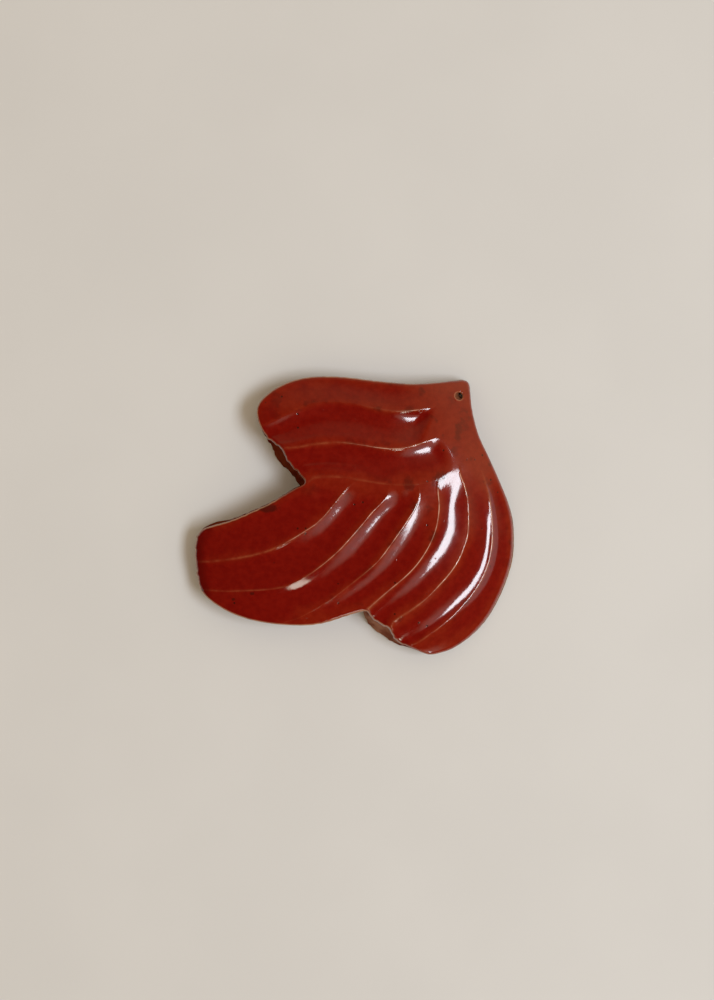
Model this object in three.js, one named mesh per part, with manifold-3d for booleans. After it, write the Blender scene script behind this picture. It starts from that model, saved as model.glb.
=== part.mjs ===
import * as THREE from 'three';
import { mergeVertices } from 'three/addons/utils/BufferGeometryUtils.js';
import Module from 'manifold-3d';

const wasm = await Module();
wasm.setup();

// A dove in relief, pressed in clay and glazed, lying on its flat back. Millimetres. +Z comes out of
// the face, +X points to the breast and +Y to the beak. z = 0 is the surface that the felt pads rest on.

// Size of the face's outline. The drawing further down is fitted to it
const OUTLINE_LENGTH = 144.5;
const OUTLINE_WIDTH = 125.6;

// The crown is the highest place of the swelling face, and the falls are how much lower the face
// would be at the outline's furthest point on each side
const CROWN_X = 13.5;
const CROWN_Y = 5;
const CROWN_HEIGHT = 24;
const FALL_RIGHT = 18;
const FALL_LEFT = 9.4;
const FALL_UP = 8.9;
const FALL_DOWN = 9.4;

// Further falls towards the two corners on the right, and the roll of the tail's end down to its wall
const FALL_UPPER_RIGHT = 7;
const FALL_LOWER_RIGHT = 14;
const TAIL_ROLL = 1.3;
const TAIL_ROLL_WIDTH = 5.5;

// Flutes are the hollows between two ridges. A flute narrower than the full width is shallower. A lean
// above 0 makes a flute's left side the steep one, and the bluntness rounds the ridges off
const FLUTE_DEPTH = 1.35;
const FLUTE_FULL_WIDTH = 11;
const FLUTE_LEAN = 0.4;
const RIDGE_BLUNTNESS = 0.2;

// Where a flute leans another way at its top, the lean changes between these distances from the neck
const LEAN_CHANGE_START = 8;
const LEAN_CHANGE_END = 34;

// Where a flute is scooped out deeper near the neck, it comes back to its depth between these distances
const SCOOP_START = 4;
const SCOOP_END = 20;

// Rounded edge of the face, and the wall's lean outwards down to the foot
const EDGE_ROUND = 1.2;
const FOOT_SPREAD = 0.7;

// Wall, hollow back and the slab that closes it
const FOOT_WALL = 5;
const LEDGE_WIDTH = 4;
const FACE_THICKNESS = 7.5;
const SLAB_THICKNESS = 4;
const SLAB_CLEARANCE = 0.3;

// Eye: a hole straight through the beak's solid corner, measured in from the beak
const EYE_DIAMETER = 3.6;
const EYE_IN = 4.6;
const EYE_DOWN = 6.6;
const EYE_LIP = 0.7;
const EYE_WALL = 2.6;

// Vent that lets the kiln's steam out of the hollow back
const VENT_DIAMETER = 6;
const VENT_X = 6;
const VENT_Y = -6;

// Felt pads under the slab
const PAD_DIAMETER = 11;
const PAD_THICKNESS = 1;
const PAD_PLACES = [
  ['felt_pad_head', 36, 44],
  ['felt_pad_wing', -25, 47],
  ['felt_pad_tail', -57, -20],
  ['felt_pad_lower_wing', 38, -46],
];

// Facets: length of one row along the feathers, cells across one flute, steps round the face's edge,
// cells along the ceiling of the hollow, turn between two points round an inward corner, and sides
const ROW_LENGTH = 3.4;
const FLUTE_CELLS = 6;
const ROUND_STEPS = 3;
const CEILING_CELLS = 15;
const CORNER_TURN = 0.3;
const HOLE_SIDES = 24;
const PAD_SIDES = 40;

// How far a cutting solid reaches past what it cuts
const CUT_PAST = 1;

// The drawing. Outline of the face, anticlockwise from the beak. Each stretch starts at the place that
// its name gives and ends where the next one starts
const STRETCHES = {
  beak: [[51.4, 60.6], [49.6, 61.5], [44.5, 61.1]],
  wingTop: [[38.3, 60.3], [31.5, 59.6], [24.8, 59.4], [15.8, 60.1], [6.8, 61.1], [-2.3, 62.3],
    [-11.3, 62.9], [-20.3, 62.6], [-27.5, 61.1], [-33.8, 58.5], [-39.2, 54.9]],
  wingCorner: [[-42.8, 51], [-44, 47.7], [-43.6, 43.6]],
  firstRidgeTip: [[-42.2, 39.8], [-39.2, 35.1], [-35.6, 32.4]],
  secondRidgeTip: [[-32.4, 29.7], [-30.6, 25.7], [-27.9, 22.1], [-24.3, 18.5]],
  notch: [[-22.2, 15], [-26.6, 12.4], [-32, 9.2], [-38.3, 5.6], [-45, 2.5], [-51.8, -0.5], [-57.2, -2.5],
    [-63, -4.1]],
  tailCorner: [[-68.4, -5.9], [-70.9, -8.3], [-72, -11.7], [-72.3, -16.2]],
  thirdRidgeTip: [[-72, -20.7], [-71.3, -27.5]],
  fourthRidgeTip: [[-69.4, -33.8], [-65.3, -38], [-59.9, -41.6], [-53.6, -44.6], [-46.4, -46.8],
    [-38.3, -48.2]],
  fifthRidgeTip: [[-31.9, -48.8], [-22.5, -49], [-15.8, -48.3], [-9.9, -46.7], [-4.5, -44.9], [0.4, -43.3]],
  lowerNotch: [[5.3, -42.5], [7.2, -45], [9.5, -47], [12.5, -48.8]],
  seventhRidgeTip: [[15.3, -50.2], [16.7, -53.1], [18.5, -55.8], [21.2, -57.6]],
  eighthRidgeTip: [[24.8, -59], [29.3, -61.2]],
  lowestPoint: [[33.8, -62.7], [38.7, -62], [44.1, -60.3], [52.2, -55.1], [59.9, -47], [65.3, -37.8],
    [69.1, -28.8], [71.6, -19.8], [72.2, -10.8], [71.6, -1.8], [69.1, 7.2], [64.8, 17.1]],
  throat: [[59.9, 27.4], [56, 35.6], [53.8, 43.2], [52.6, 50], [52.2, 56.2]],
};

// The foot follows the outline, pushed out further under the ends of the two wings. Each entry holds
// how far along its stretch it lies, from 0 to 1, and the push in X and Y
const FOOT_PUSHES = {
  firstRidgeTip: [[0.35, 0, 0], [0.7, -2, -0.8], [1, -4, -1.9]],
  secondRidgeTip: [[0, -4, -1.9], [0.24, -2.7, -2], [0.45, -0.3, -2], [0.78, -2.3, -2.3], [1, -2.5, -1.5]],
  notch: [[0, -2.5, -1.5], [0.1, -1.2, -0.4], [0.2, 0, 0], [0.76, 0, 0], [0.88, -0.2, 0.9], [0.98, 0, 0]],
  fifthRidgeTip: [[0.78, 0, 0], [0.9, -0.5, -0.2], [1, -1.5, -0.8]],
  lowerNotch: [[0, -1.5, -0.8], [0.25, -1.7, -2], [0.5, -2.2, -2.8], [0.75, -2.6, -3.5], [1, -2.5, -4.2]],
  seventhRidgeTip: [[0, -2.5, -4.2], [0.25, -1.8, -2.6], [0.5, -1.1, -1.3], [0.72, -0.6, -1.1],
    [1, 0.1, -0.75]],
  eighthRidgeTip: [[0, 0.1, -0.75], [0.6, 0, 0]],
};

// Ridges between the flutes, drawn from the beak or from the line under the bowl out to their tips.
// The neck part of a ridge lies on the smooth neck, where it doesn't show
const NECK_LINES = {
  firstRidge: [[45.5, 56.5], [41.5, 52.6], [36.9, 49.4]],
  secondRidge: [[47, 53.5], [44.6, 46.5], [42, 40.5], [38.7, 35.7]],
  bowlLine: [[48.6, 53], [47.6, 45.5], [46.6, 37.5], [46.4, 30.5], [46.4, 23.9]],
  eighthRidge: [[50, 52], [50.2, 43], [52, 33.5], [55.4, 24.3]],
};
const RIDGES = {
  firstRidge: [[36.9, 49.4], [30.2, 47.7], [22.5, 46.8], [14.9, 46.9], [6.8, 48.4], [0, 50], [-7.7, 50.9],
    [-14.9, 50.7], [-22.5, 49.1], [-29.3, 46.4], [-36, 42.9]],
  secondRidge: [[38.7, 35.7], [33.8, 34], [28.4, 32], [22.5, 30.4], [15.8, 29.9], [9, 30.6], [2.3, 31.7],
    [-4.5, 32.6], [-11.3, 32.6], [-18, 32], [-25, 30.8]],
  thirdRidge: [[1, 16.2], [-3.2, 12.6], [-6.3, 9], [-9.9, 4.5], [-13.5, 0.2], [-17.6, -3.6], [-23, -7.2],
    [-29.3, -11], [-36, -14.4], [-42.8, -16.7], [-49.5, -18.2], [-58.5, -19.6], [-66, -20.4]],
  fourthRidge: [[15.8, 14], [14, 9], [11.3, 5.4], [7.7, 1.8], [3.6, -3.2], [-1.4, -9], [-6.8, -14.9],
    [-12.2, -19.8], [-18, -24.3], [-23.9, -28.1], [-31.5, -31.5], [-40.5, -32.9], [-49.5, -33.4],
    [-58.5, -33.7]],
  fifthRidge: [[28.4, 14.2], [28.4, 8.6], [26.6, 3.6], [23.4, -1.8], [19.4, -7.7], [14.9, -14],
    [10.4, -19.8], [4.5, -25.2], [-2.3, -30.6], [-9, -35.8], [-16.7, -40.8], [-24.8, -45.3]],
  sixthRidge: [[36.9, 16.4], [36.9, 10.8], [37.4, 5], [37.1, 0.5], [36, -5.4], [33.8, -11.3], [30.6, -17.1],
    [26.6, -22.5], [21.6, -27.5], [16.2, -32], [10.8, -36.7], [7.4, -39.8]],
  seventhRidge: [[46.4, 23.9], [46.9, 18.5], [48.6, 14], [50, 8.6], [50.6, 2.7], [50.6, -4.1], [50, -9.9],
    [48.6, -14], [46.8, -18.5], [44.1, -23], [41, -27], [36.9, -31.5], [32.9, -35.6], [29.3, -38.7],
    [24.8, -42], [20.3, -45], [16.9, -47.6]],
  eighthRidge: [[55.4, 24.3], [57.8, 17.1], [59.9, 10.4], [61, 4.1], [61.7, -2.7], [61.9, -9.5],
    [61.4, -15.3], [60.1, -21.2], [58.1, -26.6], [54.9, -32.4], [50.4, -38.3], [45, -44.1], [39.2, -49.1],
    [32.9, -53.6], [27.5, -57.2]],
};

// The bowl line runs under the bowl of the upper wing, from the seventh ridge to the notch, and the
// ridges of the tail and the lower wing start on it
const BOWL_LINE = {
  seventhRidge: [[46.4, 23.9], [42.3, 19.4]],
  sixthRidge: [[36.9, 16.4], [32.8, 15]],
  fifthRidge: [[28.4, 14.2], [22.1, 13.8]],
  fourthRidge: [[15.8, 14], [9, 14.9]],
  thirdRidge: [[1, 16.2], [-6.8, 17.3], [-13.5, 17.4], [-18.8, 16.6]],
};

// How deep each flute is against the full depth, and how much of that is left where it runs out at
// its tip. A flute sinks in over the sink length below the neck, or over the soft length below the
// line under the bowl. It has the common lean unless it has one of its own. The scoop is how much
// deeper it is near the neck, and with a slant its right side begins that much further from the neck
const FLUTES = {
  wingTopFlute: { depth: 0.5, sinkLength: 26, atTip: 0.2 },
  wingMiddleFlute: { depth: 1.2, sinkLength: 8, lean: 0.55, scoop: 0.8, slant: 8 },
  bowlFlute: { depth: 1.1, sinkLength: 8, lean: 0.5, scoop: 0.1 },
  tailTopFlute: { depth: 0.8, softLength: 14, atTip: 0.7 },
  tailMiddleFlute: { depth: 1, softLength: 20, atTip: 0.6 },
  tailLowerFlute: { depth: 1, softLength: 18, atTip: 0.15 },
  tailUnderFlute: { depth: 1, softLength: 34, atTip: 0.15 },
  lowerWingFlute: { depth: 1.05, softLength: 13, lean: 0.3 },
  lowerMiddleFlute: { depth: 1.2, sinkLength: 40, lean: -0.4, topLean: 0.6 },
  breastFlute: { depth: 1.25, sinkLength: 24, lean: 0.3, atTip: 0.3 },
};

// The drawing fitted to the size of the outline
const drawnPoints = Object.values(STRETCHES).flat();
const drawnBox = new THREE.Box2().setFromPoints(drawnPoints.map(([x, y]) => new THREE.Vector2(x, y)));
const fitX = OUTLINE_LENGTH / (drawnBox.max.x - drawnBox.min.x);
const fitY = OUTLINE_WIDTH / (drawnBox.max.y - drawnBox.min.y);
const fitted = (points) => points.map(([x, y]) => [x * fitX, y * fitY]);
const fittedLines = (lines) => Object.fromEntries(
  Object.entries(lines).map(([name, points]) => [name, fitted(points)]));
const stretches = fittedLines(STRETCHES);
const neckLines = fittedLines(NECK_LINES);
const ridgeLines = fittedLines(RIDGES);
const bowlLine = fittedLines(BOWL_LINE);
const [[crownX, crownY], [ventX, ventY]] = fitted([[CROWN_X, CROWN_Y], [VENT_X, VENT_Y]]);

const footHeight = PAD_THICKNESS;
const slabTop = footHeight + SLAB_THICKNESS;
const rebateTop = slabTop + SLAB_CLEARANCE;

const onPlane = (points) => points.map(([x, y]) => new THREE.Vector3(x, y, 0));
const smoothStep = THREE.MathUtils.smoothstep;

// Closed outline curve, with the place on it where each stretch starts
const outlinePoints = Object.values(stretches).flat();
const outlineCurve = new THREE.CatmullRomCurve3(onPlane(outlinePoints), true, 'centripetal');
const stretchNames = Object.keys(stretches);
const stretchStarts = {};
let pointsBefore = 0;
for (const name of stretchNames) {
  stretchStarts[name] = pointsBefore / outlinePoints.length;
  pointsBefore += stretches[name].length;
}

// A curve is measured in fine steps, and a flute's rows bend to its tip only near the tip
const FINE_STEPS = 24;
const TIP_BEND = 4;

// Parameters of a curve from one place to another, at even distances along it
function evenSteps(curve, from, to, steps) {
  const fine = FINE_STEPS * steps;
  const parameters = Array.from({ length: fine + 1 }, (_, i) => THREE.MathUtils.lerp(from, to, i / fine));
  const points = parameters.map((parameter) => curve.getPoint(parameter));
  const lengths = [0];
  for (let i = 1; i <= fine; i += 1) {
    lengths.push(lengths[i - 1] + points[i].distanceTo(points[i - 1]));
  }
  const even = [from];
  let k = 0;
  for (let i = 1; i < steps; i += 1) {
    const wanted = lengths[fine] * i / steps;
    while (lengths[k + 1] < wanted) k += 1;
    const share = (wanted - lengths[k]) / (lengths[k + 1] - lengths[k]);
    even.push(THREE.MathUtils.lerp(parameters[k], parameters[k + 1], share));
  }
  return [...even, to];
}

// A place on the outline: its point, the direction out of the part there, and the foot's push
function outlinePlace(parameter, push) {
  const around = parameter >= 1 ? parameter - 1 : parameter;
  const point = outlineCurve.getPoint(around);
  const tangent = outlineCurve.getTangent(around);
  return { x: point.x, y: point.y, outX: tangent.y, outY: -tangent.x, push };
}

function footPush(name, share) {
  const entries = FOOT_PUSHES[name];
  if (!entries) return [0, 0];
  const after = entries.findIndex(([place]) => place >= share);
  if (after === 0) return entries[0].slice(1);
  if (after < 0) return entries.at(-1).slice(1);
  const [placeA, xA, yA] = entries[after - 1];
  const [placeB, xB, yB] = entries[after];
  const t = (share - placeA) / (placeB - placeA);
  return [THREE.MathUtils.lerp(xA, xB, t), THREE.MathUtils.lerp(yA, yB, t)];
}

function stretchPlaces(name, steps) {
  const next = stretchNames[stretchNames.indexOf(name) + 1];
  const end = next ? stretchStarts[next] : 1;
  const parameters = evenSteps(outlineCurve, stretchStarts[name], end, steps);
  return parameters.map((parameter, i) => outlinePlace(parameter, footPush(name, i / steps)));
}

// The face's flat part starts inside the outline by the radius of its rounded edge
function insetPoint(place) {
  return { x: place.x - place.outX * EDGE_ROUND, y: place.y - place.outY * EDGE_ROUND };
}

const curveThrough = (points) => new THREE.CatmullRomCurve3(onPlane(points), false, 'centripetal');

function curvePoints(points, steps) {
  const curve = curveThrough(points);
  return evenSteps(curve, 0, 1, steps).map((parameter) => {
    const point = curve.getPoint(Math.min(parameter, 1));
    return { x: point.x, y: point.y };
  });
}

const asPair = ({ x, y }) => [x, y];
const beakPoint = asPair(insetPoint(outlinePlace(0)));
const tipOf = (stretch) => asPair(insetPoint(outlinePlace(stretchStarts[stretch])));

// Rows of each piece of ridge. Where a ridge joins the bowl line, the ridge beyond it carries the
// rows of both, so that neighbouring flutes always share their points
const rowsOf = (points) => Math.max(2, Math.round(curveThrough(points).getLength() / ROW_LENGTH));
const bowlOrder = ['seventhRidge', 'sixthRidge', 'fifthRidge', 'fourthRidge', 'thirdRidge'];
const bowlPieces = {};
bowlOrder.forEach((name, i) => {
  const end = i + 1 < bowlOrder.length ? bowlLine[bowlOrder[i + 1]][0] : tipOf('notch');
  bowlPieces[name] = [...bowlLine[name], end];
});
const neckRows = rowsOf([beakPoint, ...neckLines.bowlLine]);
const bowlRows = bowlOrder.reduce((sum, name) => sum + rowsOf(bowlPieces[name]), 0);
const tailTopRows = rowsOf(stretches.notch);
const rowsFrom = {};
let ridgeRows = tailTopRows;
for (const name of [...bowlOrder].reverse()) {
  ridgeRows += rowsOf(bowlPieces[name]);
  rowsFrom[name] = ridgeRows;
}

// Joins pieces of a line end to end, dropping the points that they share
const joined = (...pieces) => pieces.flatMap((piece, i) => (i === 0 ? piece : piece.slice(1)));
const neckPart = (name) => curvePoints([beakPoint, ...neckLines[name]], neckRows);
const bowlPart = (name) => curvePoints(bowlPieces[name], rowsOf(bowlPieces[name]));
const tipStretch = {
  firstRidge: 'firstRidgeTip',
  secondRidge: 'secondRidgeTip',
  thirdRidge: 'thirdRidgeTip',
  fourthRidge: 'fourthRidgeTip',
  fifthRidge: 'fifthRidgeTip',
  sixthRidge: 'lowerNotch',
  seventhRidge: 'seventhRidgeTip',
  eighthRidge: 'eighthRidgeTip',
};
const ridgePart = (name, rows) => curvePoints([...ridgeLines[name], tipOf(tipStretch[name])], rows);

const edgePlaces = {
  beak: stretchPlaces('beak', neckRows),
  wingTop: stretchPlaces('wingTop', bowlRows),
  notch: stretchPlaces('notch', tailTopRows),
  lowestPoint: stretchPlaces('lowestPoint', rowsFrom.seventhRidge),
  throat: stretchPlaces('throat', neckRows),
};
for (const name of stretchNames) {
  edgePlaces[name] ??= stretchPlaces(name, FLUTE_CELLS);
}
const inset = (name) => edgePlaces[name].map(insetPoint);
const rails = {
  wingTop: joined(inset('beak'), inset('wingTop')),
  firstRidge: joined(neckPart('firstRidge'), ridgePart('firstRidge', bowlRows)),
  secondRidge: joined(neckPart('secondRidge'), ridgePart('secondRidge', bowlRows)),
  bowlLine: joined(neckPart('bowlLine'), ...bowlOrder.map(bowlPart)),
  tailTop: joined(bowlPart('thirdRidge'), inset('notch')),
  eighthRidge: joined(neckPart('eighthRidge'), ridgePart('eighthRidge', rowsFrom.seventhRidge)),
  breast: joined(inset('lowestPoint'), inset('throat')).reverse(),
};
const ridges = {};
for (const name of bowlOrder) {
  ridges[name] = ridgePart(name, rowsFrom[name]);
}

// The ten flutes, each between a left and a right rail that start together and have as many rows,
// and each with the stretch of the outline that closes it at its tip
const flutes = [
  { ...FLUTES.wingTopFlute, left: rails.wingTop, right: rails.firstRidge, tip: 'wingCorner' },
  { ...FLUTES.wingMiddleFlute, left: rails.firstRidge, right: rails.secondRidge, tip: 'firstRidgeTip' },
  { ...FLUTES.bowlFlute, left: rails.secondRidge, right: rails.bowlLine, tip: 'secondRidgeTip' },
  { ...FLUTES.tailTopFlute, left: rails.tailTop, right: ridges.thirdRidge, tip: 'tailCorner' },
  {
    ...FLUTES.tailMiddleFlute,
    left: joined(bowlPart('fourthRidge'), ridges.thirdRidge),
    right: ridges.fourthRidge,
    tip: 'thirdRidgeTip',
  },
  {
    ...FLUTES.tailLowerFlute,
    left: joined(bowlPart('fifthRidge'), ridges.fourthRidge),
    right: ridges.fifthRidge,
    tip: 'fourthRidgeTip',
  },
  {
    ...FLUTES.tailUnderFlute,
    left: joined(bowlPart('sixthRidge'), ridges.fifthRidge),
    right: ridges.sixthRidge,
    tip: 'fifthRidgeTip',
  },
  {
    ...FLUTES.lowerWingFlute,
    left: joined(bowlPart('seventhRidge'), ridges.sixthRidge),
    right: ridges.seventhRidge,
    tip: 'lowerNotch',
  },
  {
    ...FLUTES.lowerMiddleFlute,
    left: joined(neckPart('bowlLine'), ridges.seventhRidge),
    right: rails.eighthRidge,
    tip: 'seventhRidgeTip',
  },
  { ...FLUTES.breastFlute, left: rails.eighthRidge, right: rails.breast, tip: 'eighthRidgeTip' },
];

const { lerp } = THREE.MathUtils;
const between = (a, b, t) => ({ x: lerp(a.x, b.x, t), y: lerp(a.y, b.y, t) });
const distance = (a, b) => Math.hypot(a.x - b.x, a.y - b.y);

function distanceToLine(point, line) {
  let nearest = Infinity;
  for (let k = 1; k < line.length; k += 1) {
    const [a, b] = [line[k - 1], line[k]];
    const along = ((point.x - a.x) * (b.x - a.x) + (point.y - a.y) * (b.y - a.y)) / distance(a, b) ** 2;
    nearest = Math.min(nearest, distance(point, between(a, b, THREE.MathUtils.clamp(along, 0, 1))));
  }
  return nearest;
}

// Height of the face before its flutes are pressed in
const outlineBox = new THREE.Box3().setFromPoints(onPlane(outlinePoints));
const reachRight = outlineBox.max.x - crownX;
const reachLeft = crownX - outlineBox.min.x;
const reachUp = outlineBox.max.y - crownY;
const reachDown = crownY - outlineBox.min.y;
function crownHeight(x, y) {
  const right = Math.max(x - crownX, 0) / reachRight;
  const left = Math.max(crownX - x, 0) / reachLeft;
  const up = Math.max(y - crownY, 0) / reachUp;
  const down = Math.max(crownY - y, 0) / reachDown;
  const acrossFall = FALL_RIGHT * right ** 3 + FALL_LEFT * left ** 3;
  const upwardsFall = FALL_UP * up ** 3 + FALL_DOWN * down ** 3;
  const cornerFall = FALL_UPPER_RIGHT * (right * up) ** 2 + FALL_LOWER_RIGHT * (right * down) ** 2;
  return CROWN_HEIGHT - acrossFall - upwardsFall - cornerFall;
}
const tailEnd = [...edgePlaces.tailCorner, ...edgePlaces.thirdRidgeTip.slice(1)];
function faceHeight(point) {
  const rolled = Math.max(0, 1 - distanceToLine(point, tailEnd) / TAIL_ROLL_WIDTH);
  return crownHeight(point.x, point.y) - TAIL_ROLL * rolled ** 2;
}

// Depth across a flute, from 0 on its ridges to 1 at its bottom
function hollowAcross(t, lean) {
  const leaned = t * (1 + lean * (1 - t));
  const across = 4 * leaned * (1 - leaned);
  return across ** 2 / (across + RIDGE_BLUNTNESS) * (1 + RIDGE_BLUNTNESS);
}

// Grid of one flute: its points, with the depth of the flute at each
const underBowl = rails.bowlLine.slice(neckRows);
function fluteGrid(flute) {
  const { left, right, tip, depth, sinkLength, softLength } = flute;
  const { atTip = 1, lean = FLUTE_LEAN, topLean = lean, scoop = 0, slant = 0 } = flute;
  const rows = left.length - 1;
  const end = inset(tip);
  const grid = [];
  const middles = left.map((place, i) => between(place, right[i], 0.5));
  let fromNeck = 0;
  for (let i = 0; i <= rows; i += 1) {
    const width = distance(left[i], right[i]);
    if (i > neckRows) fromNeck += distance(middles[i], middles[i - 1]);
    const toTip = THREE.MathUtils.lerp(1, atTip, smoothStep(i / rows, 0.6, 1));
    const changed = smoothStep(fromNeck, LEAN_CHANGE_START, LEAN_CHANGE_END);
    const leanHere = THREE.MathUtils.lerp(topLean, lean, changed);
    const wide = Math.min(1, width / FLUTE_FULL_WIDTH);
    const fullDepth = depth * FLUTE_DEPTH * wide * toTip;
    const towardsEnd = (i / rows) ** TIP_BEND;
    const row = [];
    for (let j = 0; j <= FLUTE_CELLS; j += 1) {
      const t = j / FLUTE_CELLS;
      const straight = between(left[i], right[i], t);
      const endStraight = between(left[rows], right[rows], t);
      const x = straight.x + towardsEnd * (end[j].x - endStraight.x);
      const y = straight.y + towardsEnd * (end[j].y - endStraight.y);
      const begun = fromNeck - slant * t;
      const sunk = sinkLength ? smoothStep(begun, 0, sinkLength) : 1;
      const scooped = 1 + scoop * (1 - smoothStep(begun, SCOOP_START, SCOOP_END));
      const soft = softLength ? smoothStep(distanceToLine({ x, y }, underBowl), 0, softLength) : 1;
      row.push({ x, y, depth: fullDepth * sunk * scooped * soft * hollowAcross(t, leanHere) });
    }
    grid.push(row);
  }
  return grid;
}

const triangles = [];
const corner = ({ x, y, z }) => [x, y, z];
const addTriangle = (a, b, c) => triangles.push(...corner(a), ...corner(b), ...corner(c));
function addQuad(a, b, c, d) {
  addTriangle(a, b, c);
  addTriangle(a, c, d);
}

// Face of the shell
const tipDepths = {};
for (const flute of flutes) {
  const grid = fluteGrid(flute).map((row) => row.map((p) => ({ ...p, z: faceHeight(p) - p.depth })));
  tipDepths[flute.tip] = grid.at(-1).map(({ depth }) => depth);
  for (let i = 1; i < grid.length; i += 1) {
    for (let j = 1; j <= FLUTE_CELLS; j += 1) {
      const [a, b, c, d] = [grid[i - 1][j - 1], grid[i][j - 1], grid[i][j], grid[i - 1][j]];
      if (distance(a, d) === 0) addTriangle(a, b, c);
      else addQuad(a, b, c, d);
    }
  }
}

// Rounded edge and wall of the shell, as rings from the face down to the foot
const rim = stretchNames.flatMap((name) => edgePlaces[name].slice(0, -1).map((place, i) => (
  { ...place, depth: tipDepths[name] ? tipDepths[name][i] : 0 })));
const rings = [];
for (let k = 0; k <= ROUND_STEPS; k += 1) {
  const angle = (Math.PI / 2) * k / ROUND_STEPS;
  const inside = EDGE_ROUND * (1 - Math.sin(angle));
  const drop = EDGE_ROUND * (1 - Math.cos(angle));
  rings.push(rim.map((place) => {
    const x = place.x - place.outX * inside;
    const y = place.y - place.outY * inside;
    return { x, y, z: faceHeight({ x, y }) - place.depth - drop };
  }));
}
const foot = rim.map(({ x, y, outX, outY, push }) => (
  { x: x + outX * FOOT_SPREAD + push[0], y: y + outY * FOOT_SPREAD + push[1], z: footHeight }));
rings.push(foot);
for (let k = 1; k < rings.length; k += 1) {
  for (let p = 0; p < rim.length; p += 1) {
    const q = (p + 1) % rim.length;
    addQuad(rings[k - 1][p], rings[k][p], rings[k][q], rings[k - 1][q]);
  }
}
const footOutline = foot.map(({ x, y }) => new THREE.Vector2(x, y));
for (const [a, b, c] of THREE.ShapeUtils.triangulateShape(footOutline, [])) {
  addTriangle(foot[a], foot[c], foot[b]);
}

// Closed solid of a geometry, for cutting, and the geometry of a solid
function solidOf(geometry) {
  const bare = geometry.index ? geometry.toNonIndexed() : geometry.clone();
  bare.deleteAttribute('normal');
  bare.deleteAttribute('uv');
  const merged = mergeVertices(bare);
  return new wasm.Manifold(new wasm.Mesh({
    numProp: 3,
    vertProperties: new Float32Array(merged.attributes.position.array),
    triVerts: new Uint32Array(merged.index.array),
  }));
}
function geometryOf(solid) {
  const mesh = solid.getMesh();
  const geometry = new THREE.BufferGeometry();
  geometry.setAttribute('position', new THREE.BufferAttribute(mesh.vertProperties, 3));
  geometry.setIndex(new THREE.BufferAttribute(mesh.triVerts, 1));
  geometry.computeVertexNormals();
  return geometry;
}

function prism(outline, bottom, top) {
  const shape = new THREE.Shape(outline.map(({ x, y }) => new THREE.Vector2(x, y)));
  const geometry = new THREE.ExtrudeGeometry(shape, { depth: top - bottom, bevelEnabled: false });
  return solidOf(geometry.translate(0, 0, bottom));
}
function drum(x, y, topRadius, bottomRadius, bottom, top) {
  const geometry = new THREE.CylinderGeometry(topRadius, bottomRadius, top - bottom, HOLE_SIDES);
  return solidOf(geometry.rotateX(Math.PI / 2).translate(x, y, (bottom + top) / 2));
}

// A loop moved inwards by a distance. A sharp inward corner gets a fan of points, and points that
// come nearer to the loop than the distance are left out
function insetLoop(loop, inwards) {
  const count = loop.length;
  const edgeAngle = (k) => {
    const a = loop[(k + count) % count];
    const b = loop[(k + 1) % count];
    return Math.atan2(b.y - a.y, b.x - a.x);
  };
  const moved = [];
  for (let k = 0; k < count; k += 1) {
    const before = edgeAngle(k - 1);
    const turn = THREE.MathUtils.euclideanModulo(edgeAngle(k) - before + Math.PI, 2 * Math.PI) - Math.PI;
    const fan = turn < 0 ? Math.ceil(-turn / CORNER_TURN) : 1;
    for (let f = 0; f < fan; f += 1) {
      const angle = before + turn * (f + 0.5) / fan + Math.PI / 2;
      moved.push({ x: loop[k].x + inwards * Math.cos(angle), y: loop[k].y + inwards * Math.sin(angle) });
    }
  }
  const clear = moved.filter((point) => distanceToLine(point, [...loop, loop[0]]) > inwards * 0.97);
  const spaced = [];
  for (const point of clear) {
    if (spaced.length === 0 || distance(point, spaced.at(-1)) > ROW_LENGTH / 2) spaced.push(point);
  }
  return spaced;
}

// Eye, measured in from the beak's corner of the outline. The cuts start below the foot
const beak = outlinePlace(0);
const eyeX = beak.x - EYE_IN;
const eyeY = beak.y - EYE_DOWN;
const eyeTop = crownHeight(eyeX, eyeY);
const eyeRadius = EYE_DIAMETER / 2;
const collarRadius = eyeRadius + EYE_WALL;
const behind = footHeight - CUT_PAST;
const eyeDrum = drum(eyeX, eyeY, eyeRadius, eyeRadius, behind, CROWN_HEIGHT);
const eyeLip = drum(eyeX, eyeY, eyeRadius + 2 * EYE_LIP, eyeRadius, eyeTop - EYE_LIP, eyeTop + EYE_LIP);

// Back of the shell: the slab's rebate, and the hollow above it
const rebate = prism(insetLoop(foot, FOOT_WALL), behind, rebateTop)
  .subtract(drum(eyeX, eyeY, collarRadius, collarRadius, behind - CUT_PAST, rebateTop + CUT_PAST));
const hollowOutline = insetLoop(foot, FOOT_WALL + LEDGE_WIDTH);
const hollowBox = new THREE.Box3().setFromPoints(onPlane(hollowOutline.map(asPair)));
const hollowSize = hollowBox.getSize(new THREE.Vector3());
const hollowMiddle = hollowBox.getCenter(new THREE.Vector3());
const underCrown = new THREE.BoxGeometry(hollowSize.x, hollowSize.y, 1, CEILING_CELLS, CEILING_CELLS, 1);
underCrown.translate(hollowMiddle.x, hollowMiddle.y, 0);
const spots = underCrown.attributes.position;
for (let k = 0; k < spots.count; k += 1) {
  const ceiling = Math.max(crownHeight(spots.getX(k), spots.getY(k)) - FACE_THICKNESS, slabTop);
  spots.setZ(k, spots.getZ(k) > 0 ? ceiling : footHeight);
}
const collarLedge = collarRadius + LEDGE_WIDTH;
const hollow = prism(hollowOutline, behind, CROWN_HEIGHT)
  .subtract(drum(eyeX, eyeY, collarLedge, collarLedge, behind - CUT_PAST, CROWN_HEIGHT + CUT_PAST))
  .intersect(solidOf(underCrown));

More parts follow.
